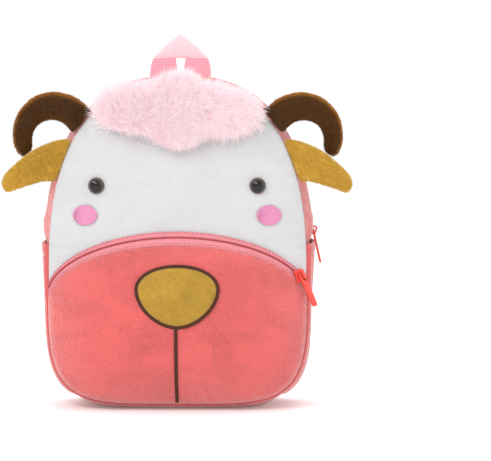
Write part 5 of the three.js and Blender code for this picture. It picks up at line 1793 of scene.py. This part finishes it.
def blend_rows(sections, count):
    """More cross-sections between the given ones, on smooth curves through them"""
    sections = np.asarray(sections, float)
    last = len(sections) - 1
    padded = np.concatenate([
        2 * sections[:1] - sections[1:2], sections, 2 * sections[-1:] - sections[-2:-1]
    ])
    made = []
    for place in np.linspace(0, last, count):
        index = min(int(place), last - 1)
        part = place - index
        a, b, c, d = (padded[index + step] for step in range(4))
        square, cube = 2 * a - 5 * b + 4 * c - d, 3 * b - a - 3 * c + d
        made.append(0.5 * (2 * b + (c - a) * part + square * part**2 + cube * part**3))
    return np.stack(made)


def beside_seam(z, clearance):
    x = float(seam_half_width(z))
    normal = seam_normal(np.array(x), np.array(float(z)))
    return np.array([x + clearance * normal[0], z + clearance * normal[1]])


def leaf_rows(inner, outer, thick, y, sides, pinch):
    """Cross-sections from the two edges of a flat-sewn piece; pinch draws each edge to a seam"""
    angle = ring_angles(sides)
    wide = np.cos(angle)
    high = np.sign(np.sin(angle)) * np.abs(np.sin(angle)) ** pinch
    middle = (inner + outer) / 2
    half = (outer - inner) / 2
    rows = np.zeros((len(inner), sides, 3))
    rows[:, :, 0] = middle[:, :1] + half[:, :1] * wide
    rows[:, :, 2] = middle[:, 1:] + half[:, 1:] * wide
    rows[:, :, 1] = y[:, None] + thick[:, None] * high
    return rows


def stuff(made, pinned, shrink, voxel, pressure, cap):
    """Fills a sewn piece: it is meshed evenly, then blown up by a cloth simulation"""
    remesh = made.modifiers.new("even", "REMESH")
    remesh.mode = "VOXEL"
    remesh.voxel_size = voxel
    freeze(made)
    write_points(made, read_points(made) - read_normals(made) * shrink)
    start = read_points(made)
    group = made.vertex_groups.new(name="sewn_down")
    held = np.clip(pinned(start), 0, 1)
    for index in np.nonzero(held > 0.01)[0]:
        group.add([int(index)], float(held[index]), "REPLACE")
    cloth = made.modifiers.new("stuffing", "CLOTH")
    for setting, value in CLOTH_SETTINGS.items():
        setattr(cloth.settings, setting, value)
    cloth.settings.uniform_pressure_force = pressure
    cloth.settings.vertex_group_mass = "sewn_down"
    cloth.settings.effector_weights.gravity = 0
    cloth.point_cache.frame_end = STUFFING_STEPS
    for step in range(1, STUFFING_STEPS + 1):
        bpy.context.scene.frame_set(step)
    freeze(made)
    bpy.context.scene.frame_set(1)
    moved = read_points(made) - start
    far = np.linalg.norm(moved, axis=1, keepdims=True)
    moved *= np.minimum(1, cap / np.maximum(far, 1e-9))
    write_points(made, start + moved)


def horn_edge(edge, root_z):
    """Points (x, z) along one edge of the horn, from its root on the seam to its tip"""
    points = [beside_seam(root_z, HORN_ROOT_CLEARANCE)]
    for angle, reach in zip(HORN_SECTIONS[edge + "_angle"], HORN_SECTIONS[edge + "_reach"]):
        turn = math.radians(angle)
        x = HORN_CENTRE_X - HORN_REACH * reach * math.cos(turn)
        points.append((x, HORN_CENTRE_Z + HORN_REACH * reach * math.sin(turn)))
    return np.array(points)


def make_horns():
    inner = horn_edge("in", HORN_ROOT_BASE)
    outer = horn_edge("out", HORN_ROOT_TOP)
    thick = np.array([HORN_ROOT_THICKNESS, *(HORN_DEPTH / 2 * np.array(HORN_SECTIONS["depth"]))])
    root_y = -float(half_depth(HORN_CENTRE_Z)) - CLOTH / 2
    y = root_y + HORN_TIP_BACK * np.array([0, *HORN_SECTIONS["back"]])
    rows = blend_rows(leaf_rows(inner, outer, thick, y, 40, 0.85), 90)
    made = loft_object("horn_right_plush", rows)
    root = beside_seam(HORN_ROOT_MIDDLE, HORN_ROOT_CLEARANCE)

    def pinned(points):
        away = np.hypot(points[:, 0] - root[0], points[:, 2] - root[1])
        return 1 - smoothstep(away, 0.004, 0.016)

    stuff(made, pinned, **HORN_STUFFING)
    refine(made, 1)
    points = read_points(made)
    angle = np.arctan2(points[:, 2] - HORN_CENTRE_Z, HORN_CENTRE_X - points[:, 0])
    away = np.hypot(points[:, 0] - HORN_CENTRE_X, points[:, 2] - HORN_CENTRE_Z) / HORN_REACH
    # Marks the horn's outer edges for the painted golden highlight
    store(made, "rim", turned_away(made) ** 0.6 * smoothstep(away, 0.5, 0.9))
    comb(made, np.stack([np.sin(angle), np.zeros_like(angle), np.cos(angle)], -1))
    shade_smooth(made)
    pile = (sizes().short_pile * 1.25, HORN_PILE_DENSITY, HORN_PILE_WIDTH)
    for piece, node in hand_over_pair(made, "brown_plush", "horn_right"):
        add_pile(piece, node + "_pile", node, "brown_pile", *pile, Segments=1)


def make_ears():
    root_top = beside_seam(EAR_ROOT_TOP, EAR_CLEARANCE)
    root_base = beside_seam(EAR_ROOT_BASE, EAR_CLEARANCE)
    height = EAR_ROOT_TOP - EAR_ROOT_BASE
    rows = {key: np.array(values, float) for key, values in EAR_SECTIONS.items()}
    top_x = root_top[0] + EAR_LENGTH * rows["top_out"]
    top = np.stack([top_x, EAR_ROOT_BASE + height * rows["top"]], -1)
    reach = root_top[0] + EAR_LENGTH - root_base[0]
    base_x = root_base[0] + reach * rows["base_out"]
    base = np.stack([base_x, EAR_ROOT_BASE + height * rows["base"]], -1)
    y = -float(half_depth(EAR_ROOT_TOP)) - CLOTH / 2 - EAR_TIP_FORWARD * rows["forward"]
    top = np.vstack([beside_seam(EAR_ROOT_TOP, EAR_ROOT_START), top])
    base = np.vstack([beside_seam(EAR_ROOT_BASE, EAR_ROOT_START), base])
    y = np.concatenate([[y[0] - EAR_ROOT_START], y])
    thick = np.concatenate([[EAR_ROOT_THICKNESS], EAR_THICKNESS / 2 * rows["thickness"]])
    sections = blend_rows(leaf_rows(base, top, thick, y, 36, 0.8), 60)
    made = loft_object("ear_right_plush", sections)

    def pinned(points):
        return 1 - smoothstep(points[:, 0] - root_top[0], 0.001, 0.012)

    stuff(made, pinned, **EAR_STUFFING)
    refine(made, 1)
    points = read_points(made)
    # The inner ear is drawn in along a soft fold from the root to the tip
    along = np.clip((points[:, 0] - root_top[0]) / EAR_LENGTH, 0, 1)
    ridge = EAR_FOLD_Z - EAR_FOLD_DROP * along**1.4
    fold = EAR_FOLD * hill(points[:, 2], ridge, EAR_FOLD_HEIGHT) * np.sin(math.pi * along) ** 0.7
    points[:, 1] += np.where(read_normals(made)[:, 1] < 0, fold, 0)
    write_points(made, points)
    # Marks the edges that turn away, for the painted mustard highlight
    store(made, "rim", turned_away(made))
    comb(made, np.tile([0.9, 0, -0.45], (len(points), 1)))
    shade_smooth(made)
    pile = (sizes().short_pile, EAR_PILE_DENSITY, EAR_PILE_WIDTH)
    for piece, node in hand_over_pair(made, "mustard_plush", "ear_right"):
        add_pile(piece, node + "_pile", node, "mustard_pile", *pile, Segments=1)


# Forelock


def forelock_reach(angle):
    """Distance from the forelock's middle to its outline in a direction"""

    def bump(towards, above, below):
        away = np.arctan2(np.sin(angle - towards), np.cos(angle - towards))
        spread = np.where(np.sin(angle) > math.sin(towards), above, below)
        return hill(away, 0, np.radians(spread))

    wing = bump(0.0, FORELOCK_WING_ABOVE, FORELOCK_WING_BELOW)
    wing = wing + bump(math.pi, FORELOCK_WING_ABOVE, FORELOCK_WING_BELOW)
    crown = bump(math.pi / 2, FORELOCK_CROWN_SPREAD, FORELOCK_CROWN_SPREAD)
    return FORELOCK_CORE + FORELOCK_WING * wing + FORELOCK_CROWN * crown


def make_forelock():
    angle = ring_angles(180)
    reach = forelock_reach(angle)
    shares = np.concatenate([[1, 0.99, 0.97, 0.93], np.linspace(0.88, 0, 22)])
    tufts = slump(SEED + 31, FORELOCK_TUFT_SPACING)
    grid = []
    for share in shares:
        away = reach * FORELOCK_BACKING * share
        x = away * np.cos(angle)
        z = np.minimum(FORELOCK_Z + away * np.sin(angle), FORELOCK_TOP)
        stand = FORELOCK_EDGE_STAND + FORELOCK_PUFF * math.sqrt(max(0.0, 1 - share**2))
        stand = stand + FORELOCK_TUFT * tufts(x, z) * (share < 0.98)
        y = face_y(x, z) - GAP - np.maximum(stand, 0.001) * (share < 1)
        grid.append(np.stack([x, y, z], -1))
    made = grid_object("forelock_backing", np.stack(grid, 1), around=True)
    face_away(made, (0, 0.05, FORELOCK_Z))
    shade_smooth(made)
    points = read_points(made)
    x, above = points[:, 0], points[:, 2] - FORELOCK_Z
    away = np.hypot(x, above)
    turn = np.arctan2(above, x)
    level = np.zeros_like(turn)
    radial = np.stack([np.cos(turn), level, np.sin(turn)], -1)
    drop = FORELOCK_Z - FORELOCK_TIP_DROP - points[:, 2]
    tip = unit(np.stack([np.sign(x) * FORELOCK_TIP - x, level, drop], -1))
    in_wing = smoothstep(np.abs(x), 0.02, 0.042)[:, None]
    share = np.clip(away / (FORELOCK_BACKING * forelock_reach(turn)), 0, 1)
    flow = (radial * (1 - in_wing) + tip * in_wing) * (0.08 + 0.92 * share**2)[:, None]
    room = (forelock_reach(turn) - away) / sizes().long_pile
    crown = hill(turn, math.pi / 2, 0.7) * share
    comb(made, flow, np.clip(room, 0.6, 1.2) * (1 - 0.12 * crown))
    hand_over(made, "pink_fur_cloth", "forelock")
    for layer, (name, shape) in enumerate(FORELOCK_LAYERS.items(), 1):
        share, lean, spread, clump = shape
        pile = (sizes().long_pile * share, FORELOCK_DENSITY, FORELOCK_FIBRE, lean, spread)
        locks = {"Clump": clump, "Clump Size": 0.0065, "Curl": 0.8, "Segments": 3}
        add_pile(made, name, "forelock", "pink_fur", *pile, **locks, Seed=SEED + layer)


# Webbing


def ribbon_object(name, path, acrosses, width, thickness, edge=0.0005):
    """A woven tape along a path, with rounded edges and a map in metres"""
    path = np.asarray(path, float)
    tangents = unit(np.gradient(path, axis=0))
    acrosses = np.asarray(acrosses, float)
    acrosses = unit(acrosses - tangents * (acrosses * tangents).sum(1, keepdims=True))
    ups = np.cross(tangents, acrosses)
    half, thick = width / 2, thickness / 2
    flat = np.linspace(-half + edge, half - edge, 9)
    profile = [(-half, 0), *((across, thick) for across in flat)]
    profile += [(half, 0), *((across, -thick) for across in reversed(flat))]
    profile = np.array(profile)
    aside = acrosses[:, None] * profile[None, :, :1]
    sections = path[:, None] + aside + ups[:, None] * profile[None, :, 1:]
    lengths = path_lengths(path)
    uv = np.stack(np.broadcast_arrays(profile[None, :, 0], lengths[:, None]), -1)
    made = loft_object(name, sections, uv)
    shade_smooth(made, 50)
    return made


def round_route(points, values, radius):
    """Rounds a route's corners and gives it steps of that radius; values go with its points"""
    joined = even_steps(np.hstack([points, values]), 900)
    spacing = np.linalg.norm(joined[1, :3] - joined[0, :3])
    reach = max(1, int(radius / spacing))
    kernel = np.hanning(2 * reach + 3)[1:-1]
    kernel /= kernel.sum()
    padded = np.vstack([np.repeat(joined[:1], reach, 0), joined, np.repeat(joined[-1:], reach, 0)])
    smooth = np.stack([np.convolve(padded[:, axis], kernel, "valid") for axis in range(6)], -1)
    total = np.linalg.norm(np.diff(smooth[:, :3], axis=0), axis=1).sum()
    smooth = even_steps(smooth, max(12, int(total / radius)))
    return smooth[:, :3], smooth[:, 3:]


def tape_patch(name, inner, outer, thick, y, upright):
    """A flat piece of tape between two edges; its ribs run up or across"""
    rows = leaf_rows(inner, outer, thick, y, 44, 0.3)
    made = loft_object(name, rows, rows[:, :, [2, 0]] if upright else rows[:, :, [0, 2]])
    shade_smooth(made, 50)
    return made


def make_handle():
    """Two legs of tape that run up from the back seam into one pointed fold"""
    leg = (HANDLE_WIDTH + HANDLE_LEG_GAP) / 2
    base_y = back_y_at(leg, HANDLE_BASE) + GAP + WEBBING / 2 + HANDLE_CLEARANCE
    z = np.linspace(HANDLE_BASE, HANDLE_LEG_TOP, 60)
    share = (z - HANDLE_BASE) / (HANDLE_LEG_TOP - HANDLE_BASE)
    inner = HANDLE_SLIT_BASE + (HANDLE_SLIT_TOP - HANDLE_SLIT_BASE) * share**0.7
    outer = np.interp(z, HANDLE_OUTLINE["z"], HANDLE_OUTLINE["x"])
    lean = base_y + HANDLE_LEAN_BACK * share
    for side, name in ((1, "handle_leg_right"), (-1, "handle_leg_left")):
        edges = [np.stack([side * edge, z], -1) for edge in (inner, outer)]
        made = tape_patch(name, *edges, np.full_like(z, WEBBING / 2), lean, upright=False)
        hand_over(made, "pink_webbing", "handle_loop", replaced=side > 0)
    x = np.linspace(-HANDLE_FOLD_REACH, HANDLE_FOLD_REACH, 81)
    slope = HANDLE_SLOPE * np.sqrt(x**2 + HANDLE_TIP_ROUNDNESS)
    shoulder = HANDLE_SHOULDER_DROP * smoothstep(np.abs(x), 0.013, HANDLE_FOLD_REACH)
    base = HANDLE_FOLD + HANDLE_SAG * np.cos(math.pi * x / HANDLE_FOLD_REACH)
    top = np.maximum(HANDLE_TIP - slope - shoulder, base + HANDLE_LEAST_HEIGHT)
    edges = [np.stack([x, edge], -1) for edge in (base, top)]
    thick = WEBBING * 1.1 * (1 - 0.5 * smoothstep(np.abs(x), 0.017, HANDLE_FOLD_REACH))
    made = tape_patch("handle_fold", *edges, thick, np.full_like(x, lean[-1]), upright=True)
    # The fold takes the paler, lit copy of the webbing: a painted highlight
    hand_over(made, "pale_webbing", "handle_loop", replaced=False)


STRAP_ROOT_Y = back_y_at(STRAP_TOP_WIDTH / 2, STRAP_TOP) + 3 * GAP


def strap_width(drop):
    return STRAP_TOP_WIDTH + (STRAP_END_WIDTH - STRAP_TOP_WIDTH) * drop


def strap_rows(side_count, count):
    """Cross-sections of the right strap, with each point's share of the half width"""
    table = {key: np.array(values, float) for key, values in STRAP_SECTIONS.items()}
    drop = table["drop"]
    width = strap_width(drop)
    inner = (STRAP_TOP_GAP + (STRAP_END_GAP - STRAP_TOP_GAP) * drop) / 2
    y = STRAP_ROOT_Y + STRAP_STAND * table["stand"]
    places = np.stack([inner + width / 2, y, STRAP_TOP + (STRAP_END - STRAP_TOP) * drop], -1)
    before = places[np.maximum(np.arange(len(drop)) - 1, 0)]
    after = places[np.minimum(np.arange(len(drop)) + 1, len(drop) - 1)]
    along = unit(after - before)
    tilt = np.radians(STRAP_SEAM_TILT * (1 - smoothstep(drop, 0, STRAP_TILT_END)))
    across = np.stack([np.cos(tilt), np.zeros_like(tilt), -np.sin(tilt)], -1)
    across = unit(across - along * (across * along).sum(1, keepdims=True))
    out = unit(np.cross(across, along))
    angle = ring_angles(side_count)
    wide = np.sign(np.cos(angle)) * np.abs(np.cos(angle)) ** STRAP_FLATNESS
    # A flat seam allowance at both edges, and padding between
    pad = np.clip((1 - np.abs(wide)) / STRAP_PAD_SHARE, 0, 1) ** 0.5
    high = STRAP_ALLOWANCE + (1 - STRAP_ALLOWANCE) * pad
    high = np.sign(np.sin(angle)) * high * (np.abs(wide) < 0.999)
    half_width = (width / 2 * table["width"])[:, None, None]
    half_thick = (STRAP_THICKNESS / 2 * table["thickness"])[:, None, None]
    rows = places[:, None] + across[:, None] * wide[None, :, None] * half_width
    rows = rows + out[:, None] * high[None, :, None] * half_thick
    return blend_rows(rows, count), wide, blend_rows(places, count), blend_rows(out, count)


def make_straps():
    rows, wide, places, outs = strap_rows(44, 150)
    made = loft_object("strap_right_plush", rows)

    def place_on_strap(points):
        """The way down the strap, and the distance from its middle as a share of the half width"""
        nearest = np.argmin(np.abs(points[:, 2:3] - places[None, :, 2]), axis=1)
        drop = (STRAP_TOP - points[:, 2]) / (STRAP_TOP - STRAP_END)
        return drop, np.abs(points[:, 0] - places[nearest, 0]) / (strap_width(drop) / 2)

    def pinned(points):
        drop, aside = place_on_strap(points)
        ends = np.maximum(1 - smoothstep(drop, 0.0, 0.05), smoothstep(drop, 0.95, 0.99))
        return np.maximum(smoothstep(aside, 0.78, 0.9), ends)

    stuff(made, pinned, **STRAP_STUFFING)
    refine(made, 1)
    _, aside = place_on_strap(read_points(made))
    # Marks the strap's edges for the painted mustard highlight
    store(made, "rim", smoothstep(aside, 0.8, 0.98) * 0.9)
    shade_smooth(made)
    hand_over_pair(made, "mustard_plush", "strap_right")
    on_back = np.arange(len(wide)) > len(wide) // 2
    for side, node in ((1, "strap_right"), (-1, "strap_left")):
        for edge, name in ((-1, "inner"), (1, "outer")):
            column = int(np.argmin(np.abs(wide - edge * 0.86) + 9 * on_back))
            line = (rows[6:-4, column] + outs[6:-4] * 0.0002) * np.array([side, 1, 1])
            normal = outs[6:-4] * np.array([side, 1, 1])
            sew_row(f"{node}_stitches_{name}", line, normal, node, "mustard_thread")


def buckle_frame(side):
    end_x = (STRAP_END_GAP + STRAP_END_WIDTH) / 2
    end_y = STRAP_ROOT_Y + STRAP_STAND * STRAP_SECTIONS["stand"][-1]
    turn = math.radians(BUCKLE_TURN)
    y = end_y + (OVER_BAR + UNDER_SECOND) / 2
    origin = np.array([side * (end_x + BUCKLE_OUTSET), y, STRAP_END - BUCKLE_DROP])
    across = np.array([side * math.cos(turn), 0, math.sin(turn)])
    down = np.array([side * math.sin(turn), 0, -math.cos(turn)])
    return origin, across, down


def buckle_route(side, steps):
    origin, _, down = buckle_frame(side)
    return np.array([origin + np.array([0, out, 0]) + down * below for out, below in steps])


def make_webbing():
    for side, name in ((1, "right"), (-1, "left")):
        _, across, _ = buckle_frame(side)
        tab = buckle_route(side, [
            (-OVER_BAR, -BUCKLE_DROP + TAB_SEAT),
            (-OVER_BAR, BUCKLE_TOP_BAR + 0.0004),
            (OVER_BAR, FIRST_BAR - 0.001),
            (OVER_BAR, FIRST_BAR + BUCKLE_BAR + 0.0009),
            (-UNDER_SECOND, FIRST_BAR + BUCKLE_BAR + 0.0019),
            (-UNDER_SECOND, -BUCKLE_DROP + TAB_SEAT),
        ])
        path, turns = round_route(tab, np.tile(across, (len(tab), 1)), WEBBING_BEND)
        made = ribbon_object(f"strap_tab_{name}_tape", path, turns, STRAP_WEBBING_WIDTH, WEBBING)
        hand_over(made, "pink_webbing", f"strap_tab_{name}")
        anchor = buckle_route(side, [
            (-OVER_BAR, BUCKLE_HEIGHT + 0.001),
            (-OVER_BAR, SECOND_BAR + BUCKLE_BAR + 0.0042),
            (OVER_BAR, SECOND_BAR + BUCKLE_BAR + 0.001),
            (OVER_BAR, SECOND_BAR - 0.001),
            (-UNDER_SECOND, SECOND_BAR - 0.0022),
            (-UNDER_SECOND, SECOND_BAR + 0.002),
        ])
        root_y = back_y_at(ANCHOR_X, ANCHOR_Z) + GAP + WEBBING
        root = np.array([side * ANCHOR_X, root_y, ANCHOR_Z])
        turned = math.radians(ANCHOR_TURN)
        root_across = np.array([side * math.cos(turned), 0, math.sin(turned)])
        path = np.vstack([anchor, (anchor[-1] + root) / 2, root])
        turns = np.vstack([np.tile(across, (6, 1)), across * 0.4 + root_across * 0.6, root_across])
        path, turns = round_route(path, turns, WEBBING_BEND)
        made = ribbon_object(f"anchor_{name}_tape", path, turns, STRAP_WEBBING_WIDTH, WEBBING)
        hand_over(made, "pink_webbing", f"anchor_webbing_{name}")
        made = copy_of_node(f"buckle_{name}", f"buckle_{name}_moulding")
        soften_edges(made, 0.0007, angle=40)
        shade_smooth(made, 35)
        hand_over(made, "pink_plastic", f"buckle_{name}")


# Stage


def add_light(name, place, size, energy):
    data = bpy.data.lights.new(name, "AREA")
    data.shape = "RECTANGLE"
    data.size, data.size_y = size
    data.energy = energy
    made = link_object(name, data)
    made.location = place
    towards = Vector(LIGHT_TARGET) - Vector(place)
    made.rotation_euler = towards.to_track_quat("-Z", "Y").to_euler()


def make_stage():
    spread = np.linspace(-FLOOR_REACH, FLOOR_REACH, 9)
    floor = grid_object("studio_floor", np.array([[(x, y, -0.0005) for y in spread] for x in spread]))
    face_away(floor, (0, 0, -1))
    shade_smooth(floor)
    floor.data.materials.append(finish("studio_floor").material)
    world = bpy.data.worlds.new("studio")
    world.use_nodes = True
    light = world.node_tree.nodes["Background"]
    light.inputs["Color"].default_value = (1, 1, 1, 1)
    light.inputs["Strength"].default_value = 1.0
    bpy.context.scene.world = world
    for name, (place, size, energy) in LIGHTS.items():
        add_light(name, place, size, energy)


def make_camera():
    azimuth, elevation = math.radians(CAMERA_AZIMUTH), math.radians(CAMERA_ELEVATION)
    aside = (PHOTO_WIDTH / 2 - PHOTO_BAG_MIDDLE) / PHOTO_PIXELS_PER_METRE
    up = (PHOTO_BAG_BASE - PHOTO_HEIGHT / 2) / PHOTO_PIXELS_PER_METRE
    right = Vector((math.cos(azimuth), math.sin(azimuth), 0))
    target = Vector((0, CAMERA_TARGET_Y, up)) + right * aside
    level = math.cos(elevation)
    back = Vector((math.sin(azimuth) * level, -math.cos(azimuth) * level, math.sin(elevation)))
    data = bpy.data.cameras.new("photo_camera")
    data.sensor_width = CAMERA_SENSOR
    data.lens = CAMERA_SENSOR * CAMERA_DISTANCE * PHOTO_PIXELS_PER_METRE / PHOTO_WIDTH
    data.clip_end = 100
    camera = link_object("photo_camera", data)
    camera.location = target + back * CAMERA_DISTANCE
    camera.rotation_euler = (-back).to_track_quat("-Z", "Y").to_euler()
    bpy.context.scene.camera = camera
    bpy.context.scene.view_settings.view_transform = "Standard"


# Operators and panel


class BACKPACK_OT_stage(bpy.types.Operator):
    """Set the pale floor, the soft lights and the camera at the photograph's angle"""

    bl_idname = "backpack.stage"
    bl_label = "Stage"

    def execute(self, context):
        make_stage()
        make_camera()
        return {"FINISHED"}


class BACKPACK_OT_panels(bpy.types.Operator):
    """Sew the face, the back and the muzzle pocket from domed plush panels"""

    bl_idname = "backpack.panels"
    bl_label = "Panels"

    def execute(self, context):
        make_face()
        make_back()
        make_pocket()
        return {"FINISHED"}


class BACKPACK_OT_sides(bpy.types.Operator):
    """Sew the gusset round the bag and a gathered pocket on either side"""

    bl_idname = "backpack.sides"
    bl_label = "Gusset and side pockets"

    def execute(self, context):
        make_gusset()
        make_welt()
        make_side_pocket()
        return {"FINISHED"}


class BACKPACK_OT_zips(bpy.types.Operator):
    """Set in both zips with their tapes, teeth, sliders and pulls"""

    bl_idname = "backpack.zips"
    bl_label = "Zips"

    def execute(self, context):
        make_pocket_zip()
        make_main_zip()
        make_zip_metal()
        return {"FINISHED"}


class BACKPACK_OT_trims(bpy.types.Operator):
    """Add the ram's nose, mouth line, eyes and embroidered cheeks"""

    bl_idname = "backpack.trims"
    bl_label = "Face trims"

    def execute(self, context):
        make_nose()
        make_mouth()
        make_eyes()
        make_cheeks()
        return {"FINISHED"}


class BACKPACK_OT_horns(bpy.types.Operator):
    """Stuff the two curled horns and cover them with short brown pile"""

    bl_idname = "backpack.horns"
    bl_label = "Horns"

    def execute(self, context):
        make_horns()
        return {"FINISHED"}


class BACKPACK_OT_ears(bpy.types.Operator):
    """Stuff the two hanging ears and cover them with short mustard pile"""

    bl_idname = "backpack.ears"
    bl_label = "Ears"

    def execute(self, context):
        make_ears()
        return {"FINISHED"}


class BACKPACK_OT_forelock(bpy.types.Operator):
    """Grow the long pink pile of the forelock over its backing"""

    bl_idname = "backpack.forelock"
    bl_label = "Forelock"

    def execute(self, context):
        make_forelock()
        return {"FINISHED"}


class BACKPACK_OT_straps(bpy.types.Operator):
    """Stuff the padded straps and thread their webbing through the buckles"""

    bl_idname = "backpack.straps"
    bl_label = "Straps and buckles"

    def execute(self, context):
        make_straps()
        make_webbing()
        return {"FINISHED"}


class BACKPACK_OT_handle(bpy.types.Operator):
    """Fold the webbing carrying loop and sew it on above the straps"""

    bl_idname = "backpack.handle"
    bl_label = "Carrying loop"

    def execute(self, context):
        make_handle()
        return {"FINISHED"}


OPERATORS = (
    BACKPACK_OT_stage,
    BACKPACK_OT_panels,
    BACKPACK_OT_sides,
    BACKPACK_OT_zips,
    BACKPACK_OT_trims,
    BACKPACK_OT_horns,
    BACKPACK_OT_ears,
    BACKPACK_OT_forelock,
    BACKPACK_OT_straps,
    BACKPACK_OT_handle,
)


class BACKPACK_PT_making(bpy.types.Panel):
    bl_idname = "BACKPACK_PT_making"
    bl_label = "Plush ram backpack"
    bl_space_type = "VIEW_3D"
    bl_region_type = "UI"
    bl_category = "Backpack"

    def draw(self, context):
        layout = self.layout
        for group in (context.scene.backpack_colours, context.scene.backpack_sizes):
            box = layout.box()
            for name in group.__annotations__:
                box.prop(group, name)
        for operator in OPERATORS:
            layout.operator(operator.bl_idname)


CLASSES = (BackpackColours, BackpackSizes, *OPERATORS, BACKPACK_PT_making)


def register():
    for made in CLASSES:
        bpy.utils.register_class(made)
    bpy.types.Scene.backpack_colours = bpy.props.PointerProperty(type=BackpackColours)
    bpy.types.Scene.backpack_sizes = bpy.props.PointerProperty(type=BackpackSizes)


def unregister():
    del bpy.types.Scene.backpack_sizes
    del bpy.types.Scene.backpack_colours
    for made in reversed(CLASSES):
        bpy.utils.unregister_class(made)


def main():
    register()
    bpy.ops.backpack.stage()
    bpy.ops.backpack.panels()
    bpy.ops.backpack.sides()
    bpy.ops.backpack.zips()
    bpy.ops.backpack.trims()
    bpy.ops.backpack.horns()
    bpy.ops.backpack.ears()
    bpy.ops.backpack.forelock()
    bpy.ops.backpack.straps()
    bpy.ops.backpack.handle()


if __name__ == "__main__":
    main()
